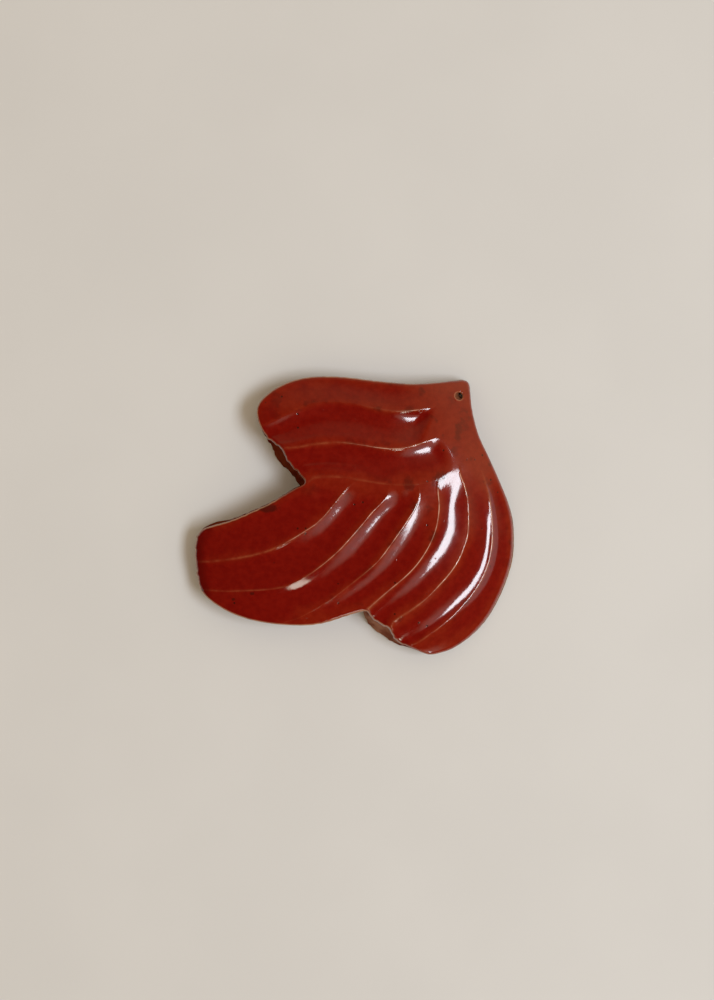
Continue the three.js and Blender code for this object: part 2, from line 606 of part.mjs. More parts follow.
const shellGeometry = new THREE.BufferGeometry();
shellGeometry.setAttribute('position', new THREE.Float32BufferAttribute(triangles, 3));
const shell = solidOf(shellGeometry)
  .subtract(rebate)
  .subtract(hollow)
  .subtract(eyeDrum)
  .subtract(eyeLip);

// Slab that closes the back, let into the rebate with a clearance all round
const slabCollar = collarRadius + SLAB_CLEARANCE;
const slab = prism(insetLoop(foot, FOOT_WALL + SLAB_CLEARANCE), footHeight, slabTop)
  .subtract(drum(eyeX, eyeY, slabCollar, slabCollar, behind, rebateTop))
  .subtract(drum(ventX, ventY, VENT_DIAMETER / 2, VENT_DIAMETER / 2, behind, rebateTop));

const glaze = new THREE.MeshStandardMaterial({ color: 0x8a1c0c, roughness: 0.12, metalness: 0 });
const bareClay = new THREE.MeshStandardMaterial({ color: 0xb79a78, roughness: 0.85, metalness: 0 });
const felt = new THREE.MeshStandardMaterial({ color: 0x3a3733, roughness: 0.95, metalness: 0 });

const dove = new THREE.Group();
function addPiece(name, geometry, material) {
  const piece = new THREE.Mesh(geometry, material);
  piece.name = name;
  dove.add(piece);
  return piece;
}
addPiece('relief_shell', geometryOf(shell), glaze);
addPiece('back_slab', geometryOf(slab), bareClay);
const padShape = new THREE.Shape().absarc(0, 0, PAD_DIAMETER / 2, 0, 2 * Math.PI);
for (const [name, ...place] of PAD_PLACES) {
  const disc = new THREE.ExtrudeGeometry(padShape, {
    depth: PAD_THICKNESS,
    bevelEnabled: false,
    curveSegments: PAD_SIDES / 2,
  });
  const [[x, y]] = fitted([place]);
  addPiece(name, disc, felt).position.set(x, y, 0);
}

// The frame's origin lies under the middle of the part
const footBox = new THREE.Box3().setFromPoints(onPlane(foot.map(asPair)));
const middle = footBox.getCenter(new THREE.Vector3());
dove.position.set(-middle.x, -middle.y, 0);

export default dove;
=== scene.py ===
# %% [markdown]
# # A glazed clay dove in relief
# The part lies on its flat back: a pressed and glazed clay shell with fluted wings and tail, a slab
# of bare clay that closes its hollow, and four felt pads. The packed model is loaded first, because
# every piece made here takes its place from it.

# %% The frame
import math

import bmesh
import bpy
import numpy as np
from mathutils import Matrix, Vector
from mathutils.geometry import delaunay_2d_cdt


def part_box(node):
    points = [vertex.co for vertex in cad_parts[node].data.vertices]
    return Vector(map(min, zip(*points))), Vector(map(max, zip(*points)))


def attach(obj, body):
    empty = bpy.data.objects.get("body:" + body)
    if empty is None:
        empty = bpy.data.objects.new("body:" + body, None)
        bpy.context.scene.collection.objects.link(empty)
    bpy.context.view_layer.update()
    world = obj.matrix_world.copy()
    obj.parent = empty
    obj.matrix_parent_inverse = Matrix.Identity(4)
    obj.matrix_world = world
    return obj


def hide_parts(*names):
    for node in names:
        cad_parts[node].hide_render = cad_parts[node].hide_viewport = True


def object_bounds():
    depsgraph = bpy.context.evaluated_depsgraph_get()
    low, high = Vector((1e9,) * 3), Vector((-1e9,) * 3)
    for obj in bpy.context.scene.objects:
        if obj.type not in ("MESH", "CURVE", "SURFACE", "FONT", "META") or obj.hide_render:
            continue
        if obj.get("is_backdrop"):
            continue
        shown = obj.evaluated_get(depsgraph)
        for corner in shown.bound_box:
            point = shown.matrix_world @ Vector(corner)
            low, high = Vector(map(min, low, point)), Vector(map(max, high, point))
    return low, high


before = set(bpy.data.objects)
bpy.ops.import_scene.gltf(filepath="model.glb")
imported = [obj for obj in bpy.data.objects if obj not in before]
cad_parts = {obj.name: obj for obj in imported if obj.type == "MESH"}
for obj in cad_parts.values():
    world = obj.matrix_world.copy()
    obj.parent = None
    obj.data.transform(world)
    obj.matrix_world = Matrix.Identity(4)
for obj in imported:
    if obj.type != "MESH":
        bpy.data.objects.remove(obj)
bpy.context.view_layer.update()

MM = 0.001
print("solid parts:", sorted(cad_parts))

# %% [markdown]
# ## The drawing
# The face is bounded by one outline, drawn anticlockwise from the beak in millimetres. Each stretch of
# it starts at the place that its name gives. The ridges run between the flutes from the beak, or from
# the line under the bowl of the upper wing, to their tips on the outline. A drawing of few points
# with a smooth curve through them is easier to correct than a dense one.

# %% Outline, ridges and the crown
OUTLINE = {
    "beak": [(51.4, 60.6), (49.6, 61.5), (44.5, 61.1)],
    "wing top": [(38.3, 60.3), (31.5, 59.6), (24.8, 59.4), (15.8, 60.1), (6.8, 61.1), (-2.3, 62.3),
                 (-11.3, 62.9), (-20.3, 62.6), (-27.5, 61.1), (-33.8, 58.5), (-39.2, 54.9)],
    "wing corner": [(-42.8, 51), (-44, 47.7), (-43.6, 43.6)],
    "first tip": [(-42.2, 39.8), (-39.2, 35.1), (-35.6, 32.4)],
    "second tip": [(-32.4, 29.7), (-30.6, 25.7), (-27.9, 22.1), (-24.3, 18.5)],
    "notch": [(-22.2, 15), (-26.6, 12.4), (-32, 9.2), (-38.3, 5.6), (-45, 2.5), (-51.8, -0.5),
              (-57.2, -2.5), (-63, -4.1)],
    "tail corner": [(-68.4, -5.9), (-70.9, -8.3), (-72, -11.7), (-72.3, -16.2)],
    "third tip": [(-72, -20.7), (-71.3, -27.5)],
    "fourth tip": [(-69.4, -33.8), (-65.3, -38), (-59.9, -41.6), (-53.6, -44.6), (-46.4, -46.8),
                   (-38.3, -48.2)],
    "fifth tip": [(-31.9, -48.8), (-22.5, -49), (-15.8, -48.3), (-9.9, -46.7), (-4.5, -44.9), (0.4, -43.3)],
    "sixth tip": [(5.3, -42.5), (7.2, -45), (9.5, -47), (12.5, -48.8)],
    "seventh tip": [(15.3, -50.2), (16.7, -53.1), (18.5, -55.8), (21.2, -57.6)],
    "eighth tip": [(24.8, -59), (29.3, -61.2)],
    "lowest point": [(33.8, -62.7), (38.7, -62), (44.1, -60.3), (52.2, -55.1), (59.9, -47), (65.3, -37.8),
                     (69.1, -28.8), (71.6, -19.8), (72.2, -10.8), (71.6, -1.8), (69.1, 7.2), (64.8, 17.1)],
    "throat": [(59.9, 27.4), (56, 35.6), (53.8, 43.2), (52.6, 50), (52.2, 56.2)],
}
NECK_LINES = {
    "first": [(45.5, 56.5), (41.5, 52.6), (36.9, 49.4)],
    "second": [(47, 53.5), (44.6, 46.5), (42, 40.5), (38.7, 35.7)],
    "bowl": [(48.6, 53), (47.6, 45.5), (46.6, 37.5), (46.4, 30.5), (46.4, 23.9)],
    "eighth": [(50, 52), (50.2, 43), (52, 33.5), (55.4, 24.3)],
}
RIDGES = {
    "first": [(36.9, 49.4), (30.2, 47.7), (22.5, 46.8), (14.9, 46.9), (6.8, 48.4), (0, 50), (-7.7, 50.9),
              (-14.9, 50.7), (-22.5, 49.1), (-29.3, 46.4), (-36, 42.9)],
    "second": [(38.7, 35.7), (33.8, 34), (28.4, 32), (22.5, 30.4), (15.8, 29.9), (9, 30.6), (2.3, 31.7),
               (-4.5, 32.6), (-11.3, 32.6), (-18, 32), (-25, 30.8)],
    "third": [(1, 16.2), (-3.2, 12.6), (-6.3, 9), (-9.9, 4.5), (-13.5, 0.2), (-17.6, -3.6), (-23, -7.2),
              (-29.3, -11), (-36, -14.4), (-42.8, -16.7), (-49.5, -18.2), (-58.5, -19.6), (-66, -20.4)],
    "fourth": [(15.8, 14), (14, 9), (11.3, 5.4), (7.7, 1.8), (3.6, -3.2), (-1.4, -9), (-6.8, -14.9),
               (-12.2, -19.8), (-18, -24.3), (-23.9, -28.1), (-31.5, -31.5), (-40.5, -32.9), (-49.5, -33.4),
               (-58.5, -33.7)],
    "fifth": [(28.4, 14.2), (28.4, 8.6), (26.6, 3.6), (23.4, -1.8), (19.4, -7.7), (14.9, -14),
              (10.4, -19.8), (4.5, -25.2), (-2.3, -30.6), (-9, -35.8), (-16.7, -40.8), (-24.8, -45.3)],
    "sixth": [(36.9, 16.4), (36.9, 10.8), (37.4, 5), (37.1, 0.5), (36, -5.4), (33.8, -11.3), (30.6, -17.1),
              (26.6, -22.5), (21.6, -27.5), (16.2, -32), (10.8, -36.7), (7.4, -39.8)],
    "seventh": [(46.4, 23.9), (46.9, 18.5), (48.6, 14), (50, 8.6), (50.6, 2.7), (50.6, -4.1), (50, -9.9),
                (48.6, -14), (46.8, -18.5), (44.1, -23), (41, -27), (36.9, -31.5), (32.9, -35.6),
                (29.3, -38.7), (24.8, -42), (20.3, -45), (16.9, -47.6)],
    "eighth": [(55.4, 24.3), (57.8, 17.1), (59.9, 10.4), (61, 4.1), (61.7, -2.7), (61.9, -9.5),
               (61.4, -15.3), (60.1, -21.2), (58.1, -26.6), (54.9, -32.4), (50.4, -38.3), (45, -44.1),
               (39.2, -49.1), (32.9, -53.6), (27.5, -57.2)],
}
BOWL_LINE = {
    "seventh": [(46.4, 23.9), (42.3, 19.4), (36.9, 16.4)],
    "sixth": [(36.9, 16.4), (32.8, 15), (28.4, 14.2)],
    "fifth": [(28.4, 14.2), (22.1, 13.8), (15.8, 14)],
    "fourth": [(15.8, 14), (9, 14.9), (1, 16.2)],
    "third": [(1, 16.2), (-6.8, 17.3), (-13.5, 17.4), (-18.8, 16.6)],
}
CROWN = {"Crown X": 13.5, "Crown Y": 5.0, "Crown Height": 24.0, "Fall Right": 18.0, "Fall Left": 9.4,
         "Fall Up": 8.9, "Fall Down": 9.4}
FOOT_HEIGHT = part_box("relief_shell")[0][2] / MM
EDGE_ROUND = 1.2
print("outline points:", sum(len(points) for points in OUTLINE.values()), " foot at", round(FOOT_HEIGHT, 2))

# %% [markdown]
# The foot of the wall follows the outline a little further out. Under the ends of the two wings it
# is pushed out in lobes, which show in the notches. Each entry gives how far along its stretch it
# lies, and the push in X and Y.

# %% Lobes of the foot
FOOT_SPREAD = 0.7
FOOT_LOBES = {
    "first tip": [(0.35, 0, 0), (0.7, -2, -0.8), (1, -4, -1.9)],
    "second tip": [(0, -4, -1.9), (0.24, -2.7, -2), (0.45, -0.3, -2), (0.78, -2.3, -2.3), (1, -2.5, -1.5)],
    "notch": [(0, -2.5, -1.5), (0.1, -1.2, -0.4), (0.2, 0, 0), (0.76, 0, 0), (0.88, -0.2, 0.9), (0.98, 0, 0)],
    "fifth tip": [(0.78, 0, 0), (0.9, -0.5, -0.2), (1, -1.5, -0.8)],
    "sixth tip": [(0, -1.5, -0.8), (0.25, -1.7, -2), (0.5, -2.2, -2.8), (0.75, -2.6, -3.5), (1, -2.5, -4.2)],
    "seventh tip": [(0, -2.5, -4.2), (0.25, -1.8, -2.6), (0.5, -1.1, -1.3), (0.72, -0.6, -1.1),
                    (1, 0.1, -0.75)],
    "eighth tip": [(0, 0.1, -0.75), (0.6, 0, 0)],
}
print("stretches with a lobe:", len(FOOT_LOBES))

# %% [markdown]
# A curve through a few drawn points must not overshoot where they lie unevenly. The centripetal
# form keeps it calm, and the same curve gives even steps along any piece of a line.

# %% Curves through the drawn points
SPAN_STEPS = 40


def smooth_line(points, closed=False):
    """Dense line through the points, SPAN_STEPS to each span."""
    given = np.array(points, float)
    if closed:
        knots = np.vstack([given[-1], given, given[:2]])
    else:
        knots = np.vstack([2 * given[0] - given[1], given, 2 * given[-1] - given[-2]])
    t = np.linspace(0, 1, SPAN_STEPS, endpoint=False)[:, None]
    spans = []
    for before, start, end, after in zip(knots, knots[1:], knots[2:], knots[3:]):
        g0, g1, g2 = (math.sqrt(math.dist(a, b)) for a, b in ((before, start), (start, end), (end, after)))
        leave = ((start - before) / g0 - (end - before) / (g0 + g1) + (end - start) / g1) * g1
        arrive = ((end - start) / g1 - (after - start) / (g1 + g2) + (after - end) / g2) * g1
        spans.append((2 * t**3 - 3 * t**2 + 1) * start + (t**3 - 2 * t**2 + t) * leave
                     + (3 * t**2 - 2 * t**3) * end + (t**3 - t**2) * arrive)
    line = np.vstack(spans)
    return line if closed else np.vstack([line, given[-1:]])


def lengths_along(line):
    """The length from the start of a line to each of its points."""
    return np.concatenate([[0], np.cumsum(np.hypot(*np.diff(line[:, :2], axis=0).T))])


def even_steps(line, steps):
    """The line again, with that many steps of one length. Further columns go along with it."""
    lengths = lengths_along(line)
    wanted = np.linspace(0, lengths[-1], steps + 1)
    return np.column_stack([np.interp(wanted, lengths, column) for column in line.T])


def ramp(values, start, end):
    """Smooth step from 0 at start to 1 at end."""
    t = np.clip((np.asarray(values, float) - start) / (end - start), 0, 1)
    return t * t * (3 - 2 * t)


def length_of(line):
    return float(np.hypot(*np.diff(line[:, :2], axis=0).T).sum())


# %% [markdown]
# The outline becomes a table of places: X and Y, the direction out of the clay there, and the foot's
# push. An edge cut by hand is never quite even, least of all at the rough ends of the wings, so a
# wave of a few tenths of a millimetre runs along it. The whole drawing is then shifted so that its
# foot has the same middle as the packed shell.

# %% The outline's table of places
outline_line = smooth_line([point for points in OUTLINE.values() for point in points], closed=True)
tangent = np.roll(outline_line, -1, axis=0) - np.roll(outline_line, 1, axis=0)
tangent /= np.linalg.norm(tangent, axis=1)[:, None]
outward = np.column_stack([tangent[:, 1], -tangent[:, 0]])
HAND_WAVE, LEAST_UNEVEN = 4.3, 0.05
HAND_UNEVEN = {"first tip": 0.35, "second tip": 0.35, "third tip": 0.3, "tail corner": 0.25,
               "sixth tip": 0.25, "seventh tip": 0.3, "notch": 0.12, "fifth tip": 0.12}
outline_table = {}
first = 0
for name, points in OUTLINE.items():
    last = first + len(points) * SPAN_STEPS
    index = np.arange(first, last + 1) % len(outline_line)
    share = np.linspace(0, 1, len(index))
    turns = share * length_of(outline_line[first:last]) / HAND_WAVE * 2 * math.pi
    unevenness = 0.6 * np.sin(turns) + 0.4 * np.sin(1.7 * turns + 1)
    wave = HAND_UNEVEN.get(name, LEAST_UNEVEN) * unevenness * np.sin(math.pi * share)
    outline_line[index] += wave[:, None] * outward[index]
    lobe = np.array(FOOT_LOBES.get(name, [(0, 0, 0)]), float)
    push = np.column_stack([np.interp(share, lobe[:, 0], lobe[:, k]) for k in (1, 2)])
    outline_table[name] = np.column_stack([outline_line[index], outward[index], push])
    first = last

foot_line = np.vstack([t[:-1, :2] + FOOT_SPREAD * t[:-1, 2:4] + t[:-1, 4:6]
                       for t in outline_table.values()])
drawn_middle = (foot_line.min(axis=0) + foot_line.max(axis=0)) / 2
shell_low, shell_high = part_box("relief_shell")
shift = np.array([(shell_low[k] + shell_high[k]) / 2 / MM - drawn_middle[k] for k in (0, 1)])
print("outline of", len(outline_line), "places, shifted by", shift.round(3), "mm")

# %% [markdown]
# ## Rails
# Each flute lies between two rails that start together and have as many rows. A rail carries two
# things besides its place: how plainly its ridge shows, because the ridges fade in below the smooth
# neck and soften towards the tail, and how blunt the ridge is where it shows less. The tool was held
# aslant, so most flutes are steeper on one side. The rows are close, so that a highlight runs along a
# flute unbroken.

# %% Rows, cells and the spread across a flute
ROW, NECK_ROW, CELLS = 0.7, 0.35, 24
even = np.linspace(0, 1, CELLS + 1)
SPREAD = 0.5 * even + 0.25 * (1 - np.cos(math.pi * even))
CRISP, SOFT, EDGE_BLUNT = 0.12, 0.5, 0.3


def hollow_of(lean):
    """How deep a flute is across its width. A lean above 0 makes the left side the steep one."""
    leaned = SPREAD * (1 + lean * (1 - SPREAD))
    return 4 * leaned * (1 - leaned)


def rows_for(points, row=ROW):
    return max(2, round(length_of(smooth_line(points)) / row))


def edge_places(name, shares):
    """Places of a stretch of the outline at shares of its length."""
    table = outline_table[name]
    lengths = lengths_along(table)
    return np.column_stack([np.interp(np.asarray(shares) * lengths[-1], lengths, c) for c in table.T])


def inset(places):
    return places[:, :2] - EDGE_ROUND * places[:, 2:4]


UNDER_BOWL = ("third", "fourth", "fifth", "sixth", "seventh")
beak_point = tuple(inset(edge_places("beak", [0]))[0])
tip_point = {name: tuple(inset(edge_places(name + " tip", [0]))[0]) for name in RIDGES}
notch_point = tuple(inset(edge_places("notch", [0]))[0])
BOWL_LINE["third"] = BOWL_LINE["third"] + [notch_point]
neck_rows = rows_for([beak_point] + NECK_LINES["bowl"], NECK_ROW)
bowl_rows = {name: rows_for(points) for name, points in BOWL_LINE.items()}
tail_top_rows = rows_for(OUTLINE["notch"])
rows_from = {}
total = tail_top_rows
for name in UNDER_BOWL:
    total += bowl_rows[name]
    rows_from[name] = total
all_bowl_rows = sum(bowl_rows.values())
print("rows: neck", neck_rows, " under the bowl", all_bowl_rows, " longest ridge", rows_from["seventh"])

# %% The rails themselves
RIDGE_FADE = {"first": 12, "second": 9, "third": 11, "fourth": 13, "fifth": 11, "sixth": 4, "seventh": 6,
              "eighth": 24}
SHOW_AT_TIP = {"first": 0.1, "second": 0.6, "third": 0.35, "fourth": 0.3, "fifth": 0.2, "eighth": 0.6}
BOWL_SHOW = {"third": 0.45, "fourth": 0.4, "fifth": 0.3, "sixth": 0.1}
SOFTENS_OVER, FIRST_SOFTENS_OVER = (0.35, 0.9), (0.12, 0.5)


def rail(points, steps, fade=None, at_tip=1.0, show=0.0, softens=SOFTENS_OVER):
    """A line whose ridge comes up over the fade and softens again towards its tip."""
    line = even_steps(smooth_line(points), steps)
    lengths = lengths_along(line)
    shows = np.full(len(line), show)
    if fade:
        shows = ramp(lengths, 0, fade) * (1 + (at_tip - 1) * ramp(lengths / lengths[-1], *softens))
    return np.column_stack([line, shows, SOFT + (CRISP - SOFT) * shows])


def edge_rail(name, steps):
    line = inset(edge_places(name, np.linspace(0, 1, steps + 1)))
    return np.column_stack([line, np.zeros(len(line)), np.full(len(line), EDGE_BLUNT)])


def joined(*rails):
    return np.vstack([rails[0]] + [r[1:] for r in rails[1:]])


def neck_part(name):
    return rail([beak_point] + NECK_LINES[name], neck_rows)


def bowl_part(name):
    return rail(BOWL_LINE[name], bowl_rows[name], show=BOWL_SHOW.get(name, 0.0))


def ridge_part(name, steps):
    softens = FIRST_SOFTENS_OVER if name == "first" else SOFTENS_OVER
    points = RIDGES[name] + [tip_point[name]]
    return rail(points, steps, RIDGE_FADE[name], SHOW_AT_TIP.get(name, 1.0), softens=softens)


wing_top = joined(edge_rail("beak", neck_rows), edge_rail("wing top", all_bowl_rows))
breast = joined(edge_rail("lowest point", rows_from["seventh"]), edge_rail("throat", neck_rows))[::-1]
first_rail = joined(neck_part("first"), ridge_part("first", all_bowl_rows))
second_rail = joined(neck_part("second"), ridge_part("second", all_bowl_rows))
bowl_rail = joined(neck_part("bowl"), *[bowl_part(name) for name in reversed(UNDER_BOWL)])
eighth_rail = joined(neck_part("eighth"), ridge_part("eighth", rows_from["seventh"]))
ridge = {name: ridge_part(name, rows_from[name]) for name in UNDER_BOWL}
tail_top = joined(bowl_part("third"), edge_rail("notch", tail_top_rows))
whole_rails = (wing_top, breast, first_rail, second_rail, bowl_rail, eighth_rail)
print("points along the whole rails:", sum(len(r) for r in whole_rails))

# %% [markdown]
# ## The flutes as one flat sheet
# Between its rails, each flute becomes a grid that runs out to its own stretch of the outline. The
# sheet stays flat for now: each point only carries what the rule below needs to raise it, so that
# the depth of the flutes or the height of the crown can be changed without drawing anything again.

# %% Grids of the ten flutes
FLUTE_FULL_WIDTH, TIP_BEND = 11.0, 4
SCOOP_START, SCOOP_END = 4.0, 20.0
LEAN_CHANGE, TIP_CHANGE = (8, 34), (0.6, 1)
ARRIS_WIDTH, TAIL_FROM, FAR_AWAY = 0.42, -60, 99.0
sheet_points, sheet_faces, sheet_uvs, point_numbers = [], [], [], {}
COLUMNS = ("across", "press", "blunt", "lift", "drop", "arris", "tail_end")
tip_rows = {}
tail_line = np.vstack([outline_table[name][:, :2] for name in ("tail corner", "third tip")])


def add_point(x, y, across=0.0, press=0.0, blunt=EDGE_BLUNT, lift=1.0, drop=0.0, arris=0.0):
    key = (round(x, 4), round(y, 4), round(lift, 4), round(drop, 4))
    if key not in point_numbers:
        to_tail = np.hypot(tail_line[:, 0] - x, tail_line[:, 1] - y).min() if x < TAIL_FROM else FAR_AWAY
        point_numbers[key] = len(sheet_points)
        sheet_points.append((x, y, across, press, blunt, lift, drop, arris, to_tail))
    return point_numbers[key]


def add_face(numbers, uvs):
    """A face without the corners that fall together at a pole."""
    kept = [k for k in range(len(numbers)) if numbers[k] != numbers[k - 1]]
    if len(kept) > 2:
        sheet_faces.append([numbers[k] for k in kept])
        sheet_uvs.extend(uvs[k] for k in kept)


bowl_line = bowl_rail[neck_rows:, :2]


def below_bowl(x, y, soft_start):
    """The flutes under the bowl line sink in slowly away from it."""
    return float(ramp(np.hypot(bowl_line[:, 0] - x, bowl_line[:, 1] - y).min(), 0, soft_start))


def add_flute(left, right, tip, press, lean=0.4, sink=None, at_tip=1.0, soft_start=None,
              top_lean=None, scoop=0.0, slant=0.0):
    """A grid of points between two rails. It sinks in from the neck or from the bowl line. A scoop
    makes it deeper where it starts, and a slant lets its right side start further from the neck."""
    rows = len(left) - 1
    row = np.arange(rows + 1)
    end = inset(edge_places(tip, SPREAD))
    width = np.hypot(*(left[:, :2] - right[:, :2]).T)
    middle = (left[:, :2] + right[:, :2]) / 2
    steps = np.concatenate([[0], np.hypot(*np.diff(middle, axis=0).T)])
    along = np.cumsum(steps)
    from_neck = np.cumsum(np.where(row > neck_rows, steps, 0))
    begun = from_neck[:, None] - slant * SPREAD
    sunk = (ramp(begun, 0, sink) if sink else 1.0) * (1 + scoop * ramp(begun, SCOOP_END, SCOOP_START))
    top_lean = lean if top_lean is None else top_lean
    hollow = [hollow_of(top_lean + (lean - top_lean) * share) for share in ramp(from_neck, *LEAN_CHANGE)]
    to_tip = 1 + (at_tip - 1) * ramp(row / rows, *TIP_CHANGE)
    full = (press * np.minimum(1, width / FLUTE_FULL_WIDTH) * to_tip)[:, None] * sunk
    share = SPREAD[None, :, None]
    straight = left[:, None, :2] * (1 - share) + right[:, None, :2] * share
    bend = ((row / rows) ** TIP_BEND)[:, None, None]
    places = straight + bend * (end - straight[-1])[None]
    numbers = np.zeros((rows + 1, CELLS + 1), int)
    for i in range(rows + 1):
        for j in range(CELLS + 1):
            t = SPREAD[j]
            near_left, near_right = t * width[i], (1 - t) * width[i]
            arris = (left[i, 2] * math.exp(-(near_left / ARRIS_WIDTH) ** 2)
                     + right[i, 2] * math.exp(-(near_right / ARRIS_WIDTH) ** 2))
            blunt = left[i, 3] * (1 - t) + right[i, 3] * t
            pressed = full[i, j] * below_bowl(*places[i, j], soft_start) if soft_start else full[i, j]
            numbers[i, j] = add_point(*places[i, j], hollow[i][j], pressed, blunt, arris=min(arris, 1.0))
    tip_rows[tip] = (hollow[-1], full[-1])
    for i in range(rows):
        for j in range(CELLS):
            corners = [(i, j), (i + 1, j), (i + 1, j + 1), (i, j + 1)]
            add_face([numbers[c] for c in corners], [(along[a], SPREAD[b] * width[a]) for a, b in corners])


below = {name: joined(bowl_part(before), ridge[name]) for name, before in zip(UNDER_BOWL, UNDER_BOWL[1:])}
below["seventh"] = joined(neck_part("bowl"), ridge["seventh"])
add_flute(wing_top, first_rail, "wing corner", 0.5, sink=26, at_tip=0.2)
add_flute(first_rail, second_rail, "first tip", 1.2, lean=0.55, sink=8, scoop=0.8, slant=8)
add_flute(second_rail, bowl_rail, "second tip", 1.1, lean=0.5, sink=8, scoop=0.1)
add_flute(tail_top, ridge["third"], "tail corner", 0.8, at_tip=0.7, soft_start=14)
add_flute(below["third"], ridge["fourth"], "third tip", 1.1, lean=0.15, at_tip=0.6, soft_start=14)
add_flute(below["fourth"], ridge["fifth"], "fourth tip", 1.2, lean=0.15, at_tip=0.15, soft_start=11)
add_flute(below["fifth"], ridge["sixth"], "fifth tip", 1.0, lean=0.25, at_tip=0.15, soft_start=34)
add_flute(below["sixth"], ridge["seventh"], "sixth tip", 1.05, lean=0.3, soft_start=13)
add_flute(below["seventh"], eighth_rail, "seventh tip", 1.2, lean=-0.4, sink=40, top_lean=0.6)
add_flute(eighth_rail, breast, "eighth tip", 1.25, lean=0.3, sink=24, at_tip=0.3)
print("face of", len(sheet_points), "points and", len(sheet_faces), "cells")

# %% [markdown]
# The face turns down into the wall in a small round, and the wall leans out to the foot. Both are
# rings of the same points round the whole outline, so the sheet has no seam between face and wall.

# %% Rounded edge, wall and foot
ROUND_STEPS, WALL_STEPS, FOOT_ROUND, FOOT_BEND = 7, 14, 0.35, 0.3
EDGE_ROWS = {"beak": neck_rows, "wing top": all_bowl_rows, "notch": tail_top_rows,
             "lowest point": rows_from["seventh"], "throat": neck_rows}
rim_rows = []
for name in OUTLINE:
    tipped = name in tip_rows
    shares = SPREAD if tipped else np.linspace(0, 1, EDGE_ROWS[name] + 1)
    places = edge_places(name, shares)
    hollow, full = tip_rows[name] if tipped else (np.zeros(len(shares)), 0.0)
    rim_rows.append(np.column_stack([places, hollow, np.full(len(shares), full)])[:-1])
rim = np.vstack(rim_rows)

CALM_REACH = 5
kernel = np.hanning(2 * CALM_REACH + 3)[1:-1]
kernel /= kernel.sum()


def calmed(values, turn=0.0):
    """Values round a closed ring, each one averaged with its neighbours."""
    wrapped = np.concatenate([values[-CALM_REACH:] - turn, values, values[:CALM_REACH] + turn])
    return np.convolve(wrapped, kernel, mode="valid")


for column in (4, 5):
    rim[:, column] = calmed(rim[:, column])


def rim_ring(offset, lift, drop, share_out, inwards=0.0):
    out = rim[:, 2:4]
    place = rim[:, :2] + out * (offset - inwards) + share_out * (FOOT_SPREAD * out + rim[:, 4:6])
    return [add_point(*place[k], rim[k, 6], rim[k, 7], EDGE_BLUNT, lift, drop) for k in range(len(rim))]


rings = []
for k in range(ROUND_STEPS + 1):
    angle = math.pi / 2 * k / ROUND_STEPS
    in_by, down_by = EDGE_ROUND * (1 - math.sin(angle)), EDGE_ROUND * (1 - math.cos(angle))
    rings.append(rim_ring(-in_by, 1.0, down_by, 0.0))
foot_lift = FOOT_ROUND / (CROWN["Crown Height"] - CROWN["Fall Left"] - FOOT_HEIGHT)
for k in range(1, WALL_STEPS + 1):
    share_out = k / WALL_STEPS
    lift = 1 - share_out * (1 - foot_lift)
    rings.append(rim_ring(0.0, lift, EDGE_ROUND, share_out))
rings.append(rim_ring(0.0, FOOT_BEND * foot_lift, EDGE_ROUND, 1.0, FOOT_BEND * FOOT_ROUND))
rings.append(rim_ring(0.0, 0.0, EDGE_ROUND, 1.0, FOOT_ROUND))
round_lengths = lengths_along(rim)
round_lengths = np.append(round_lengths, round_lengths[-1] + math.dist(rim[-1, :2], rim[0, :2]))
for level, (upper, lower) in enumerate(zip(rings, rings[1:])):
    for k in range(len(rim)):
        after = (k + 1) % len(rim)
        round_cell = ((k, level), (k, level + 1), (k + 1, level + 1), (k + 1, level))
        uvs = [(round_lengths[a], b) for a, b in round_cell]
        add_face([upper[k], lower[k], lower[after], upper[after]], uvs)
print("sheet of", len(sheet_points), "points and", len(sheet_faces), "cells, rim of", len(rim), "places")

# %% The sheet as a mesh with its attributes
def placed(name, data):
    """A new object of a mesh, a light or a camera, in the scene."""
    made = bpy.data.objects.new(name, data)
    bpy.context.collection.objects.link(made)
    return made


sheet = np.array(sheet_points)
sheet[:, :2] += shift
sheet_mesh = bpy.data.meshes.new("dove_sheet")
sheet_mesh.from_pydata([(x, y, 0.0) for x, y in sheet[:, :2]], [], sheet_faces)
for k, name in enumerate(COLUMNS):
    sheet_mesh.attributes.new(name, "FLOAT", "POINT").data.foreach_set("value", sheet[:, 2 + k].copy())
feather_map = sheet_mesh.uv_layers.new(name="feather")
feather_map.data.foreach_set("uv", np.array(sheet_uvs, float).ravel())
sheet_object = placed("dove_sheet", sheet_mesh)
print("attributes:", [a.name for a in sheet_mesh.attributes if not a.name.startswith(".")])

# %% [markdown]
# ## Arithmetic on sockets
# Both the rule that raises the sheet and the finishes are sums on sockets. Wrapped in one small class,
# a socket takes part in ordinary expressions, and each operator adds its Math node. Every other node
# comes from the class's one method, which takes the node's settings first and its sockets after.

